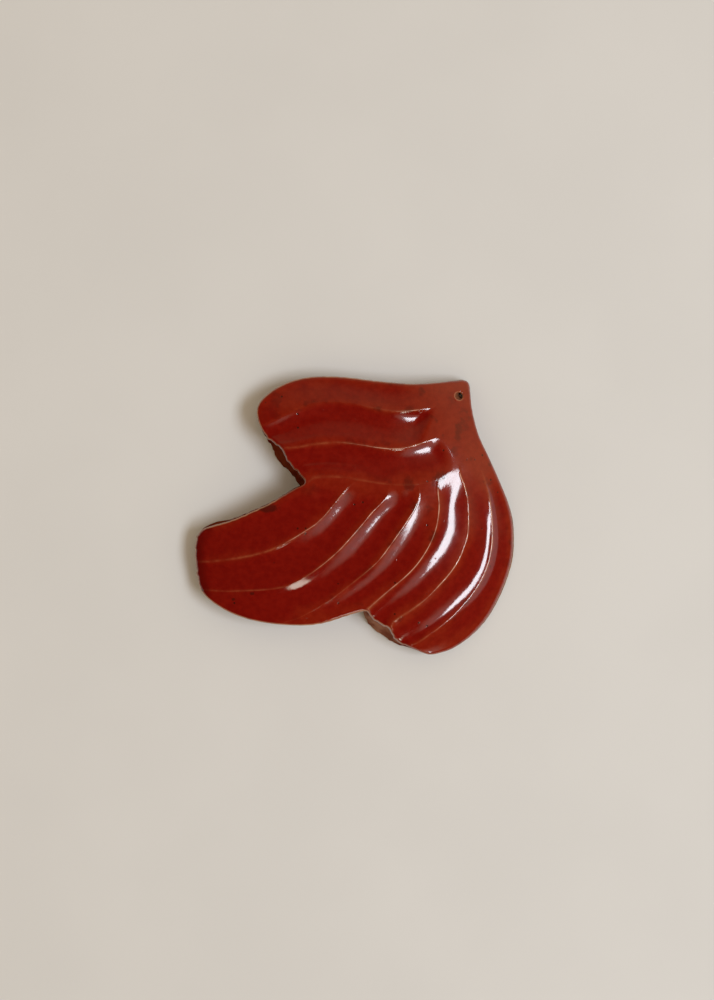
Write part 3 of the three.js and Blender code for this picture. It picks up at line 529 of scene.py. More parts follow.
# %% A socket that can be reckoned with
class Wire:
    def __init__(self, tree, socket=None):
        self.tree, self.socket = tree, socket

    def node(self, kind, settings=None, output=0, **sockets):
        made = self.tree.nodes.new(kind)
        made.location = (190 * (len(self.tree.nodes) % 14), -170 * (len(self.tree.nodes) // 14))
        for key, value in (settings or {}).items():
            setattr(made, key, value)
        for key, value in sockets.items():
            name = key.replace("_", " ")
            target = made.inputs[int(key[1:])] if key[1:].isdigit() else made.inputs[name]
            if isinstance(value, Wire):
                self.tree.links.new(value.socket, target)
            else:
                target.default_value = value
        return Wire(self.tree, made.outputs[output])

    def math(self, operation, a, b=0.0):
        return self.node("ShaderNodeMath", {"operation": operation}, s0=a, s1=b)

    def __add__(self, other): return self.math("ADD", self, other)
    def __radd__(self, other): return self.math("ADD", other, self)
    def __sub__(self, other): return self.math("SUBTRACT", self, other)
    def __rsub__(self, other): return self.math("SUBTRACT", other, self)
    def __mul__(self, other): return self.math("MULTIPLY", self, other)
    def __truediv__(self, other): return self.math("DIVIDE", self, other)

    def at_least(self, other): return self.math("MAXIMUM", self, other)
    def at_most(self, other): return self.math("MINIMUM", self, other)

    def part(self, k):
        """X, Y or Z of a vector, for k of 0, 1 or 2."""
        return self.node("ShaderNodeSeparateXYZ", output=k, Vector=self)

    def step(self, start, end, low=0.0, high=1.0):
        """Smooth step from low at start to high at end."""
        settings = {"interpolation_type": "SMOOTHSTEP"}
        return self.node("ShaderNodeMapRange", settings, s0=self, s1=start, s2=end, s3=low, s4=high)


print("what a socket can do:", [name.strip("_") for name in vars(Wire) if callable(vars(Wire)[name])])

# %% [markdown]
# ## The rule that raises the face
# The potter's face is a low swelling crown that falls faster and faster towards each side, with
# flutes pressed into it. A Geometry Nodes tree states that rule once, with every size as an input:
# it reads what each point of the flat sheet carries, works out its height and bends the sheet to it.

# %% The tree for the face
RULE_INPUTS = [("Crown X", CROWN["Crown X"] + shift[0]), ("Crown Y", CROWN["Crown Y"] + shift[1]),
               ("Crown Height", CROWN["Crown Height"])]
xs, ys = np.array([point for points in OUTLINE.values() for point in points], float).T
for side, reach in (("Right", xs.max() - CROWN["Crown X"]), ("Left", CROWN["Crown X"] - xs.min()),
                    ("Up", ys.max() - CROWN["Crown Y"]), ("Down", CROWN["Crown Y"] - ys.min())):
    RULE_INPUTS += [("Fall " + side, CROWN["Fall " + side]), ("Reach " + side, reach)]
RULE_INPUTS += [("Fall Lower Right", 14.0), ("Fall Upper Right", 7.0), ("Flute Depth", 1.35),
                ("Foot Height", FOOT_HEIGHT), ("Tail Roll", 1.3), ("Tail Roll Width", 5.5),
                ("Hand Wobble", 0.14), ("Wobble Size", 17.0), ("Seed", 4.0)]


def new_tree(name, inputs):
    tree = bpy.data.node_groups.new(name, "GeometryNodeTree")
    tree.interface.new_socket("Geometry", in_out="INPUT", socket_type="NodeSocketGeometry")
    for label, value in inputs:
        kind = "NodeSocketMaterial" if label == "Finish" else "NodeSocketFloat"
        tree.interface.new_socket(label, in_out="INPUT", socket_type=kind)
    tree.interface.new_socket("Geometry", in_out="OUTPUT", socket_type="NodeSocketGeometry")
    given = tree.nodes.new("NodeGroupInput")
    ask = {socket.name: Wire(tree, socket) for socket in given.outputs if socket.name}
    return tree, ask


def finish_tree(tree, geometry, material):
    """Realize Instances and Set Material end every tree."""
    real = geometry.node("GeometryNodeRealizeInstances", Geometry=geometry)
    done = real.node("GeometryNodeSetMaterial", Geometry=real, Material=material)
    tree.links.new(done.socket, tree.nodes.new("NodeGroupOutput").inputs[0])


def named(tree, name):
    return Wire(tree).node("GeometryNodeInputNamedAttribute", {"data_type": "FLOAT"}, Name=name)


def face_rule():
    tree, ask = new_tree("raise_the_face", RULE_INPUTS + [("Finish", None)])
    wire = Wire(tree)
    here = wire.node("GeometryNodeInputPosition")
    x, y = here.part(0), here.part(1)

    def fall(side, away):
        share = away.at_least(0.0) / ask["Reach " + side]
        return ask["Fall " + side] * share * share * share

    crown = (ask["Crown Height"] - fall("Right", x - ask["Crown X"]) - fall("Left", ask["Crown X"] - x)
             - fall("Up", y - ask["Crown Y"]) - fall("Down", ask["Crown Y"] - y))
    right = (x - ask["Crown X"]).at_least(0.0) / ask["Reach Right"]
    lower = right * (ask["Crown Y"] - y).at_least(0.0) / ask["Reach Down"]
    upper = right * (y - ask["Crown Y"]).at_least(0.0) / ask["Reach Up"]
    crown = crown - ask["Fall Lower Right"] * lower * lower - ask["Fall Upper Right"] * upper * upper
    across, blunt, press, lift = (named(tree, name) for name in ("across", "blunt", "press", "lift"))
    hollow = across * across / (across + blunt) * (1 + blunt)
    tail = (1 - named(tree, "tail_end") / ask["Tail Roll Width"]).at_least(0.0)
    size = ask["Wobble Size"]
    seeded = wire.node("ShaderNodeCombineXYZ", X=x / size, Y=y / size, Z=ask["Seed"])
    noise = wire.node("ShaderNodeTexNoise", Vector=seeded, Scale=1.0, Detail=2.0, Roughness=0.45)
    wobble = (noise - 0.5) * 2 * ask["Hand Wobble"]
    face = (crown - ask["Flute Depth"] * press * hollow - ask["Tail Roll"] * tail * tail
            - named(tree, "drop") + wobble)
    height = ask["Foot Height"] + lift * (face - ask["Foot Height"])
    place = wire.node("ShaderNodeCombineXYZ", X=x, Y=y, Z=height)
    metres = wire.node("ShaderNodeVectorMath", {"operation": "SCALE"}, Vector=place, Scale=MM)
    raised = wire.node("GeometryNodeSetPosition", Geometry=ask["Geometry"], Position=metres)
    kept = raised.node("GeometryNodeStoreNamedAttribute", {"data_type": "FLOAT", "domain": "POINT"},
                       Geometry=raised, Name="hollow", Value=(hollow * press).at_most(1.2))
    finish_tree(tree, kept, ask["Finish"])
    return tree


def through_tree(blank, tree, values, name):
    """The mesh that a tree makes of an object, as a new object with no modifier."""
    modifier = blank.modifiers.new(tree.name, "NODES")
    modifier.node_group = tree
    sockets = {item.name: item.identifier for item in tree.interface.items_tree if item.in_out == "INPUT"}
    for label, value in values:
        modifier[sockets[label]] = value
    bpy.context.view_layer.update()
    evaluated = blank.evaluated_get(bpy.context.evaluated_depsgraph_get())
    made = bpy.data.meshes.new_from_object(evaluated)
    made.name = name
    piece = placed(name, made)
    blank.modifiers.remove(modifier)
    bpy.data.objects.remove(blank)
    return piece


def new_finish(name):
    material = bpy.data.materials.new(name)
    material.use_nodes = True
    material.node_tree.nodes.clear()
    return material, Wire(material.node_tree)


glaze, glaze_wire = new_finish("oxblood_glaze")
shell = through_tree(sheet_object, face_rule(), RULE_INPUTS + [("Finish", glaze)], "dove_shell")
heights = np.array([v.co.z for v in shell.data.vertices]) / MM
print("raised face from", heights.min().round(2), "to", heights.max().round(2), "mm")

# %% [markdown]
# ## The eye and the underside
# The eye is a hole pushed through the solid corner of the beak while the clay was damp. The stick was
# held a little aslant, so the mouth is a soft funnel whose lower left side catches the light. The
# sheet is opened there, and its edge goes down in rings. Underneath, the ledge and the hollow are
# never smoother than the solid part has them, so they are taken from a merged copy of it, and a flat
# foot joins them to the new wall.

# %% The eye
EYE_IN, EYE_DOWN, EYE_RADIUS, EYE_LIP = 4.6, 6.6, 1.7, 0.7
BORE_RADIUS, FUNNEL_DEPTH, FUNNEL_EASE, BORE_SLANT = 1.25, 3.0, 1.2, (2.4, 1.6)
MERGE_WITHIN, LEVEL_WITHIN = 2e-6, 1e-5
eye = Vector((*(outline_table["beak"][0, :2] + shift - (EYE_IN, EYE_DOWN)) * MM, 0))
bm = bmesh.new()
bm.from_mesh(shell.data)


def from_eye(vertex):
    return math.hypot(vertex.co.x - eye.x, vertex.co.y - eye.y)


lip_radius = (EYE_RADIUS + EYE_LIP) * MM
inside = [v for v in bm.verts if from_eye(v) < lip_radius]
bmesh.ops.delete(bm, geom=inside, context="VERTS")
loop = [e for e in bm.edges if e.is_boundary and from_eye(e.verts[0]) < 1.5 * lip_radius]
neighbours = {}
for edge in loop:
    for vertex in edge.verts:
        neighbours.setdefault(vertex, []).append(edge.other_vert(vertex))
ring = list(loop[0].verts)
while len(ring) < len(neighbours):
    ring.append(next(v for v in neighbours[ring[-1]] if v is not ring[-2]))
angles = np.unwrap([math.atan2(v.co.y - eye.y, v.co.x - eye.x) for v in ring])
if angles[-1] < angles[0]:
    ring, angles = ring[::-1], angles[::-1]
angles = calmed(np.sort(angles), 2 * math.pi)
ring_heights = calmed(np.array([v.co.z for v in ring]))
for vertex, angle, height in zip(ring, angles, ring_heights):
    vertex.co = eye + Vector((math.cos(angle), math.sin(angle), 0)) * lip_radius
    vertex.co.z = height
LIP_STEPS, BORE_STEPS = 7, 16
top, middle = {}, eye
for k in range(1, LIP_STEPS + BORE_STEPS + 1):
    made = bmesh.ops.extrude_edge_only(bm, edges=loop)["geom"]
    loop = [g for g in made if isinstance(g, bmesh.types.BMEdge)
            and all(v in made for v in g.verts) and g.is_boundary]
    before = middle
    turn = math.pi / 2 * min(1.0, k / LIP_STEPS)
    share = max(0.0, (k - LIP_STEPS) / BORE_STEPS) ** FUNNEL_EASE
    middle = eye + Vector((*BORE_SLANT, 0)) * MM * (1 - (1 - share) ** 2)
    for vertex in {v for e in loop for v in e.verts}:
        angle = math.atan2(vertex.co.y - before.y, vertex.co.x - before.x)
        start = top.setdefault(round(angle, 3), vertex.co.z) - EYE_LIP * MM * (1 - math.cos(turn))
        height = start * (1 - share) + FOOT_HEIGHT * MM * share
        funnel = min(1.0, (start - height) / MM / FUNNEL_DEPTH)
        radius = EYE_RADIUS + EYE_LIP * (1 - math.sin(turn)) + (BORE_RADIUS - EYE_RADIUS) * funnel
        vertex.co = middle + Vector((math.cos(angle), math.sin(angle), 0)) * radius * MM
        vertex.co.z = height
print("eye of", len(top), "places, boundary edges left:", sum(e.is_boundary for e in bm.edges))

# %% The underside
solid = bmesh.new()
solid.from_mesh(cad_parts["relief_shell"].data)
bmesh.ops.remove_doubles(solid, verts=solid.verts, dist=MERGE_WITHIN)
foot_faces = [f for f in solid.faces if all(abs(v.co.z - FOOT_HEIGHT * MM) < LEVEL_WITHIN for v in f.verts)]
bmesh.ops.delete(solid, geom=foot_faces, context="FACES")
groups, waiting = [], set(solid.faces)
while waiting:
    group, edge_of_group = set(), [waiting.pop()]
    while edge_of_group:
        face = edge_of_group.pop()
        group.add(face)
        for near in {f for e in face.edges for f in e.link_faces if f in waiting}:
            waiting.discard(near)
            edge_of_group.append(near)
    groups.append(group)
inner = min(groups, key=lambda g: max(v.co.z for f in g for v in f.verts))
copies = {}
for face in inner:
    corners = []
    for vertex in face.verts:
        if vertex.index not in copies:
            copies[vertex.index] = bm.verts.new(vertex.co)
        corners.append(copies[vertex.index])
    bm.faces.new(corners)
solid.free()
open_edges = [e for e in bm.edges if e.is_boundary]
corners = list({v for e in open_edges for v in e.verts})
number = {v: k for k, v in enumerate(corners)}
lines = [(number[e.verts[0]], number[e.verts[1]]) for e in open_edges]
flat = np.array([v.co.xy / MM for v in corners])
TRIANGLES_INSIDE = 1
cells = delaunay_2d_cdt([Vector(p) for p in flat], lines, [], TRIANGLES_INSIDE, 1e-6)[2]
ends = flat[np.array(lines)]
filled = []
for cell in cells:
    x, y = flat[cell].mean(axis=0)
    start, end = ends[:, 0], ends[:, 1]
    spans = (start[:, 1] > y) != (end[:, 1] > y)
    start, end = start[spans], end[spans]
    crossings = start[:, 0] + (y - start[:, 1]) / (end[:, 1] - start[:, 1]) * (end[:, 0] - start[:, 0])
    if (crossings > x).sum() % 2:
        filled.append(bm.faces.new([corners[k] for k in cell]))
bmesh.ops.recalc_face_normals(bm, faces=bm.faces)
volume = bm.calc_volume(signed=True)
if volume < 0:
    bmesh.ops.reverse_faces(bm, faces=bm.faces)
for face in bm.faces:
    face.smooth = True
bm.to_mesh(shell.data)
print("groups of the solid shell:", len(groups), " foot cells:", len(filled), " open edges:",
      sum(not e.is_manifold for e in bm.edges), " volume", round(abs(volume) * 1e6, 1), "cm3")
bm.free()
shell.data.set_sharp_from_angle(angle=math.radians(42))

# %% [markdown]
# ## Noise, and the glaze
# The glaze is a thick, dark red glass over a brown clay. It runs off the ridges while it melts, so it
# is thin and orange-brown there, and it gathers in the flutes, where it is darker and deeper. Iron in
# the clay shows through as dark specks, and a few pinholes are left where gas came out. All of that
# follows what the points carry: how near a ridge is, and how deep the flute is pressed. Some colour
# is painted light as well: a painted highlight on the ridge crests, painted shade towards the left
# side, at the tail's end, on the walls and deep in the eye's bore, and a painted reflection of the
# floor on the wall of the lower notch.

# %% Helpers for the finishes
def place_of(wire):
    return wire.node("ShaderNodeTexCoord", output=3)


def noise_on(wire, place, size, detail=2.0, roughness=0.5, distortion=0.0):
    """Noise from 0 to 1 whose lumps are about size mm wide."""
    return wire.node("ShaderNodeTexNoise", Vector=place, Scale=1 / (size * MM), Detail=detail,
                     Roughness=roughness, Distortion=distortion)


def cells_on(wire, place, size, output=0):
    return wire.node("ShaderNodeTexVoronoi", output=output, Vector=place, Scale=1 / (size * MM))


def carried(wire, name):
    return wire.node("ShaderNodeAttribute", {"attribute_name": name, "attribute_type": "GEOMETRY"}, output=2)


def mix(wire, share, first, second):
    return wire.node("ShaderNodeMix", {"data_type": "RGBA"}, output=2, s0=share, s6=first, s7=second)


def distance_mm(wire, x, y, middle, wide=1.0):
    """How far a point is from the middle in mm, seen from above; wide stretches the ring along X."""
    off_x, off_y = (x - middle[0]) / (wide * MM), (y - middle[1]) / MM
    return wire.math("SQRT", off_x * off_x + off_y * off_y)


def bumped(wire, height, distance):
    return wire.node("ShaderNodeBump", Height=height, Distance=distance * MM, Strength=1.0)


def show(wire, shader):
    out = wire.tree.nodes.new("ShaderNodeOutputMaterial")
    wire.tree.links.new(shader.socket, out.inputs["Surface"])


# %% Oxblood glaze
# A dark spot has its place in metres, its size in mm and how much wider it is along X.
DARK_SPOTS = [((-0.0385, 0.0035), 2.2, 2.6), ((-0.0460, -0.0348), 0.9, 1.4),
                  ((-0.0545, -0.0375), 0.7, 1.2)]
NOTCH_MIDDLE, LOWER_NOTCH_MIDDLE = (-0.028, 0.022), (0.0115, -0.0505)
BROWN, BROWN_PALER = (0.180, 0.0080, 0.0016, 1), (0.210, 0.0120, 0.0028, 1)
DEEP, DEEP_PALER = (0.145, 0.0020, 0.0007, 1), (0.180, 0.0038, 0.0011, 1)
# The pale crest colour is a painted highlight along the ridges.
RUST, CREST_PAINTED_GLINT, RIM_TAN = (0.330, 0.085, 0.032, 1), (0.720, 0.440, 0.340, 1), (0.410, 0.200, 0.095, 1)
# The dark red for the tail's end is painted shade.
DARK_BLOTCH, TAIL_END_PAINTED_SHADE, SPECK = (0.055, 0.004, 0.002, 1), (0.105, 0.0016, 0.0006, 1), (0.030, 0.004, 0.002, 1)
# The funnel's darker brown is painted shade deep in the bore.
FUNNEL_TAN, BORE_PAINTED_SHADE = (0.400, 0.150, 0.070, 1), (0.190, 0.070, 0.035, 1)
# The pale notch wall colour is a painted reflection of the lit floor.
# The wall colours are darker than the face, partly as painted shade.
WALL_RUN_AND_SHADE, WALL_RUN_AND_SHADE_PALER, LOWER_NOTCH_PAINTED_REFLECTION = (0.120, 0.0120, 0.0030, 1), (0.170, 0.032, 0.012, 1), (0.380, 0.190, 0.125, 1)
CLAY, CLAY_PALER = (0.36, 0.24, 0.145, 1), (0.47, 0.33, 0.21, 1)
GLAZE_ENDS, GLAZE_END_SOFT = 0.75, 0.12


def paint_glaze(wire):
    place = place_of(wire)
    x, y = place.part(0), place.part(1)
    hollow, arris, tail_end = (carried(wire, name) for name in ("hollow", "arris", "tail_end"))
    drop, lift = carried(wire, "drop"), carried(wire, "lift")
    cloud = noise_on(wire, place, 14, 3.0)
    mottle = noise_on(wire, place, 2.6, 4.0, 0.6)
    streak = noise_on(wire, place, 5.5, 2.0)
    # Deeper red where the glaze pools in the flutes, and painted shade: deeper red towards the left side and
    # the tail's end, away from the window.
    thickness_and_shade = hollow + x.step(0.015, -0.06) * 0.45 + tail_end.step(6.5, 1.0) * 0.6
    pool_and_shade = (thickness_and_shade + (cloud - 0.5) * 1.7).step(-0.1, 0.75)
    brown = mix(wire, mottle.step(0.3, 0.7), BROWN, BROWN_PALER)
    deep = mix(wire, mottle.step(0.3, 0.7), DEEP, DEEP_PALER)
    body = mix(wire, pool_and_shade, brown, deep)
    worn = arris * streak.step(0.30, 0.62, 0.25, 1.0) * mottle.step(0.25, 0.75, 0.55, 1.0)
    worn = worn * x.step(-0.025, -0.050, 1.0, 1.7)
    thin = mix(wire, worn.at_most(1.0) * 0.8, body, RUST)
    # A pale painted glint on the upper parts of the ridge crests, stronger to the right: painted highlight.
    crest_glint = arris.step(0.70, 0.95) * streak.step(0.34, 0.56, 0.3, 1.0) * y.step(-0.045, -0.020)
    thin = mix(wire, crest_glint * x.step(-0.01, 0.02, 0.45, 0.80), thin, CREST_PAINTED_GLINT)
    # Dark brown blotches at random on the raised parts, and at the listed spots.
    dark_blotches = (1 - pool_and_shade) * noise_on(wire, place, 7.0, 3.0).step(0.56, 0.68) * 0.55
    for spot_at, spot_size, wide in DARK_SPOTS:
        ragged = distance_mm(wire, x, y, spot_at, wide) / spot_size + (mottle - 0.5) * 1.2
        dark_blotches = dark_blotches.at_least(ragged.step(1.1, 0.6) * 0.8)
    thin = mix(wire, dark_blotches, thin, DARK_BLOTCH)
    # Streaks of darker red along the tail's rolled end, which faces away from the window: painted shade.
    tail_end_shade = tail_end.step(6.0, 2.5) * streak.step(0.3, 0.6, 0.3, 0.8)
    thin = mix(wire, tail_end_shade, thin, TAIL_END_PAINTED_SHADE)
    in_notch = distance_mm(wire, x, y, NOTCH_MIDDLE).step(19.0, 13.0)
    edge = drop.step(0.04, 0.30) * drop.step(1.15, 0.55) * x.step(0.055, -0.01, 0.25, 1.0)
    edge = edge * (1 - in_notch * 0.65)
    rimmed = mix(wire, edge * streak.step(0.30, 0.60, 0.45, 1.0) * 0.85, thin, RIM_TAN)
    from_eye_axis = distance_mm(wire, x, y, eye)
    rimmed = mix(wire, from_eye_axis.step(2.6, 1.8) * 0.6, rimmed, FUNNEL_TAN)
    # Darker brown deeper in the eye's bore: painted shade.
    rimmed = mix(wire, from_eye_axis.step(1.70, 1.45), rimmed, BORE_PAINTED_SHADE)
    spot, chosen = (cells_on(wire, place, 3.6, output=k) for k in (0, 1))
    picked = wire.node("ShaderNodeSeparateColor", output=0, Color=chosen)
    specks = spot.step(0.16, 0.10) * picked.step(0.88, 0.89)
    blisters = spot.step(0.13, 0.02) * picked.step(0.13, 0.12)
    speckled = mix(wire, specks * 0.85, rimmed, SPECK)
    fine_ripple, slow_ripple = noise_on(wire, place, 0.9, 2.0), noise_on(wire, place, 6.0, 1.0)
    burr = arris * noise_on(wire, place, 2.2, 2.0)
    surface = fine_ripple * 0.015 + slow_ripple * 0.06 - specks * 0.03 + blisters * 0.05 + burr * 0.26
    relief = bumped(wire, surface, 1.0)
    gloss = wire.node("ShaderNodeBsdfPrincipled", Base_Color=speckled, IOR=1.6,
                      Roughness=0.085 + mottle * 0.05, Normal=relief)
    # The wall's colour is darker than the face: partly glaze run thin down the wall, partly painted shade.
    drawn_down = wire.node("ShaderNodeMapping", Vector=place, Scale=(1.0, 1.0, 0.45))
    runs = noise_on(wire, drawn_down, 6.0, 2.0)
    wall_run_and_shade = mix(wire, runs.step(0.25, 0.75), WALL_RUN_AND_SHADE, WALL_RUN_AND_SHADE_PALER)
    # Pale grey-brown streaks on the wall of the lower notch: a painted reflection of the lit floor.
    lower_notch_reflection = distance_mm(wire, x, y, LOWER_NOTCH_MIDDLE).step(15.0, 9.0)
    wall_run_and_shade = mix(wire, lower_notch_reflection * runs.step(0.35, 0.65, 0.3, 0.9), wall_run_and_shade, LOWER_NOTCH_PAINTED_REFLECTION)
    satin = wire.node("ShaderNodeBsdfPrincipled", Base_Color=wall_run_and_shade, IOR=1.45, Specular_IOR_Level=0.0,
                      Roughness=0.40 + mottle * 0.15, Normal=relief)
    glazed_wall = wire.node("ShaderNodeMixShader", s0=lift.step(0.995, 0.90), s1=gloss, s2=satin)
    clay_grain = noise_on(wire, place, 0.5, 4.0, 0.7)
    clay = mix(wire, clay_grain.step(0.3, 0.7), CLAY, CLAY_PALER)
    bare = wire.node("ShaderNodeBsdfPrincipled", Base_Color=clay, Roughness=0.86, IOR=1.45,
                     Normal=bumped(wire, clay_grain, 0.05))
    line = (FOOT_HEIGHT + GLAZE_ENDS) * MM
    uneven_height = place.part(2) + (noise_on(wire, place, 5.0, 3.0) - 0.5) * 1.1 * MM
    glazed = uneven_height.step(line, line + GLAZE_END_SOFT * MM)
    show(wire, wire.node("ShaderNodeMixShader", s0=glazed, s1=bare, s2=glazed_wall))


paint_glaze(glaze_wire)
print("glaze of", len(glaze.node_tree.nodes), "nodes")

# %% [markdown]
# ## Bare clay and the back slab
# The slab that closes the back is the same clay without glaze: dry, a little sandy, and wiped flat
# with a damp sponge. Its solid shape is right, so a merged copy of it only gets softened edges.

# %% The back slab
clay_finish, clay_wire = new_finish("bare_clay")


def paint_clay(wire):
    place = place_of(wire)
    stretched = wire.node("ShaderNodeMapping", Vector=place, Scale=(1.0, 0.12, 1.0), Rotation=(0, 0, 0.5))
    grain = noise_on(wire, place, 0.45, 5.0, 0.7)
    wiped = noise_on(wire, stretched, 1.6, 3.0)
    cloud = noise_on(wire, place, 22, 3.0)
    sandy = (grain * 0.5 + cloud * 0.5).step(0.3, 0.7)
    colour = mix(wire, sandy, (0.33, 0.215, 0.13, 1), (0.49, 0.345, 0.22, 1))
    show(wire, wire.node("ShaderNodeBsdfPrincipled", Base_Color=colour, Roughness=0.82 + grain * 0.12,
                         IOR=1.45, Normal=bumped(wire, grain * 0.05 + wiped * 0.16, 1.0)))


paint_clay(clay_wire)
RIM_ANGLE, NARROW_TIP, FLAT = math.radians(60), math.radians(75), 0.999
RIM_SOFTENED = KEPT_FROM_TIP = 0.5 * MM
slab_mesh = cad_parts["back_slab"].data.copy()
slab = placed("clay_back_slab", slab_mesh)
bm = bmesh.new()
bm.from_mesh(slab_mesh)
bmesh.ops.remove_doubles(bm, verts=bm.verts, dist=MERGE_WITHIN)
bmesh.ops.dissolve_limit(bm, angle_limit=math.radians(2), verts=bm.verts, edges=bm.edges)
rims = [e for e in bm.edges if e.is_manifold and e.calc_face_angle(0) > RIM_ANGLE
        and abs(e.verts[0].co.z - e.verts[1].co.z) < 1e-6]


def rim_turn(vertex):
    """The angle between the two rim edges at a vertex; a full half turn where there are no two."""
    ways = [e.other_vert(vertex).co - vertex.co for e in vertex.link_edges if e in rims]
    return ways[0].angle(ways[1]) if len(ways) == 2 else math.pi


# A rim softened right into a narrow tip would fold over itself there.
narrow_tips = [v.co.copy() for v in bm.verts if rim_turn(v) < NARROW_TIP]
softened = [e for e in rims if all((v.co - tip).length > KEPT_FROM_TIP
                                   for v in e.verts for tip in narrow_tips)]
bmesh.ops.bevel(bm, geom=softened, offset=RIM_SOFTENED, segments=3, profile=0.5, affect="EDGES")
for face in bm.faces:
    face.smooth = abs(face.normal.z) < FLAT
print("slab open edges:", sum(not e.is_manifold for e in bm.edges), " faces:", len(bm.faces))
bm.to_mesh(slab_mesh)
bm.free()
slab_mesh.set_sharp_from_angle(angle=math.radians(40))
slab_mesh.materials.clear()
slab_mesh.materials.append(clay_finish)

# %% [markdown]
# ## Felt pads
# Four discs punched from wool felt keep the clay off the table. A punched edge is fuzzy, so a
# Geometry Nodes tree scatters short bent fibres over each disc's side.

# %% Felt
felt, felt_wire = new_finish("felt")


def paint_felt(wire):
    place = place_of(wire)
    tangle = noise_on(wire, place, 0.35, 5.0, 0.75, 1.2)
    cloud = noise_on(wire, place, 3.0, 3.0)
    matted = (tangle * 0.6 + cloud * 0.4).step(0.3, 0.7)
    colour = mix(wire, matted, (0.028, 0.025, 0.022, 1), (0.085, 0.078, 0.070, 1))
    show(wire, wire.node("ShaderNodeBsdfPrincipled", Base_Color=colour, Roughness=0.96, IOR=1.4,
                         Normal=bumped(wire, tangle, 0.12)))


paint_felt(felt_wire)
PAD_NODES = [name for name in sorted(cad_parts) if name.startswith("felt_pad")]
FIRST_SEED, SCATTER_AREA = 7.0, 3.5e-5
FIBRE_INPUTS = [("Fibres", 420.0), ("Fibre Length", 0.55 * MM), ("Fibre Thickness", 0.035 * MM),
                ("Seed", FIRST_SEED), ("Low", 0.12 * MM), ("High", 0.9 * MM)]


def fibre_rule():
    tree, ask = new_tree("felt_fibres", FIBRE_INPUTS + [("Finish", felt)])
    wire = Wire(tree)
    area_points = wire.node("GeometryNodeDistributePointsOnFaces", Mesh=ask["Geometry"],
                            Density=ask["Fibres"] / SCATTER_AREA, Seed=ask["Seed"])
    scatter = area_points.socket.node
    z = wire.node("GeometryNodeInputPosition").part(2)
    beyond = wire.math("LESS_THAN", z, ask["Low"]) + wire.math("GREATER_THAN", z, ask["High"])
    side = wire.node("GeometryNodeDeleteGeometry", {"domain": "POINT"}, Geometry=area_points,
                     Selection=beyond)
    stalk = wire.node("GeometryNodeMeshCone", {"fill_type": "NONE"}, Vertices=4, Side_Segments=3,
                      Radius_Top=ask["Fibre Thickness"] * 0.3, Radius_Bottom=ask["Fibre Thickness"],
                      Depth=ask["Fibre Length"])
    tip = wire.node("GeometryNodeInputPosition").part(2) / ask["Fibre Length"]
    curl = wire.node("ShaderNodeCombineXYZ", X=tip * tip * ask["Fibre Length"] * 0.45, Y=0.0, Z=0.0)
    bent = wire.node("GeometryNodeSetPosition", Geometry=stalk, Offset=curl)
    turn = wire.node("FunctionNodeRandomValue", {"data_type": "FLOAT_VECTOR"}, Min=(-0.9, -0.9, 0.0),
                     Max=(0.9, 0.9, 6.28), Seed=3)
    outwards = Wire(tree, scatter.outputs["Rotation"])
    lean = wire.node("FunctionNodeRotateEuler", {"space": "LOCAL"}, Rotation=outwards, Rotate_By=turn)
    fibres = wire.node("GeometryNodeInstanceOnPoints", Points=side, Instance=bent, Rotation=lean)
    loose = fibres.node("GeometryNodeRealizeInstances", Geometry=fibres)
    here = wire.node("GeometryNodeInputPosition")
    x, y, z = (here.part(k) for k in (0, 1, 2))
    above = wire.node("ShaderNodeCombineXYZ", X=x, Y=y, Z=z.at_least(ask["Fibre Thickness"]))
    fibres = wire.node("GeometryNodeSetPosition", Geometry=loose, Position=above)
    both = tree.nodes.new("GeometryNodeJoinGeometry")
    for part in (fibres, ask["Geometry"]):
        tree.links.new(part.socket, both.inputs[0])
    finish_tree(tree, Wire(tree, both.outputs[0]), ask["Finish"])
    return tree


pads = []
fibres = fibre_rule()
for name in PAD_NODES:
    low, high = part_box(name)
    bm = bmesh.new()
    radius = (high.x - low.x) / 2
    bmesh.ops.create_cone(bm, cap_ends=True, segments=48, radius1=radius, radius2=radius,
                          depth=high.z - low.z)
    bmesh.ops.translate(bm, verts=bm.verts, vec=(low + high) / 2)
    sharp = [e for e in bm.edges if e.calc_face_angle(0) > 1]
    bmesh.ops.bevel(bm, geom=sharp, offset=0.12 * MM, segments=2, profile=0.5, affect="EDGES")
    disc = bpy.data.meshes.new(name + "_disc")
    bm.to_mesh(disc)
    bm.free()
    blank = placed(name + "_disc", disc)
    values = dict(FIBRE_INPUTS, Seed=FIRST_SEED + len(pads), Finish=felt)
    pads.append(through_tree(blank, fibres, values.items(), "wool_" + name))
print("pads:", [(p.name, len(p.data.polygons)) for p in pads])

# %% [markdown]
# ## Floor, light and camera
# The dove lies on a plain pale sheet and is seen from straight above. One large soft window, high
# on the right, makes the long highlights in the flutes. The glaze mirrors a made-up room: a pale
# window wall at the lower right, a dimmer wall on the right and a small bright lamp low below the
# dove. The camera sees none of it, only a plain pale background.

# %% Floor
floor_finish, floor_wire = new_finish("pale_floor")


def paint_floor(wire):
    place = place_of(wire)
    cloud = noise_on(wire, place, 90, 3.0)
    colour = mix(wire, cloud.step(0.3, 0.7), (0.603, 0.601, 0.600, 1), (0.621, 0.619, 0.618, 1))
    show(wire, wire.node("ShaderNodeBsdfPrincipled", Base_Color=colour, Roughness=0.9, IOR=1.3))


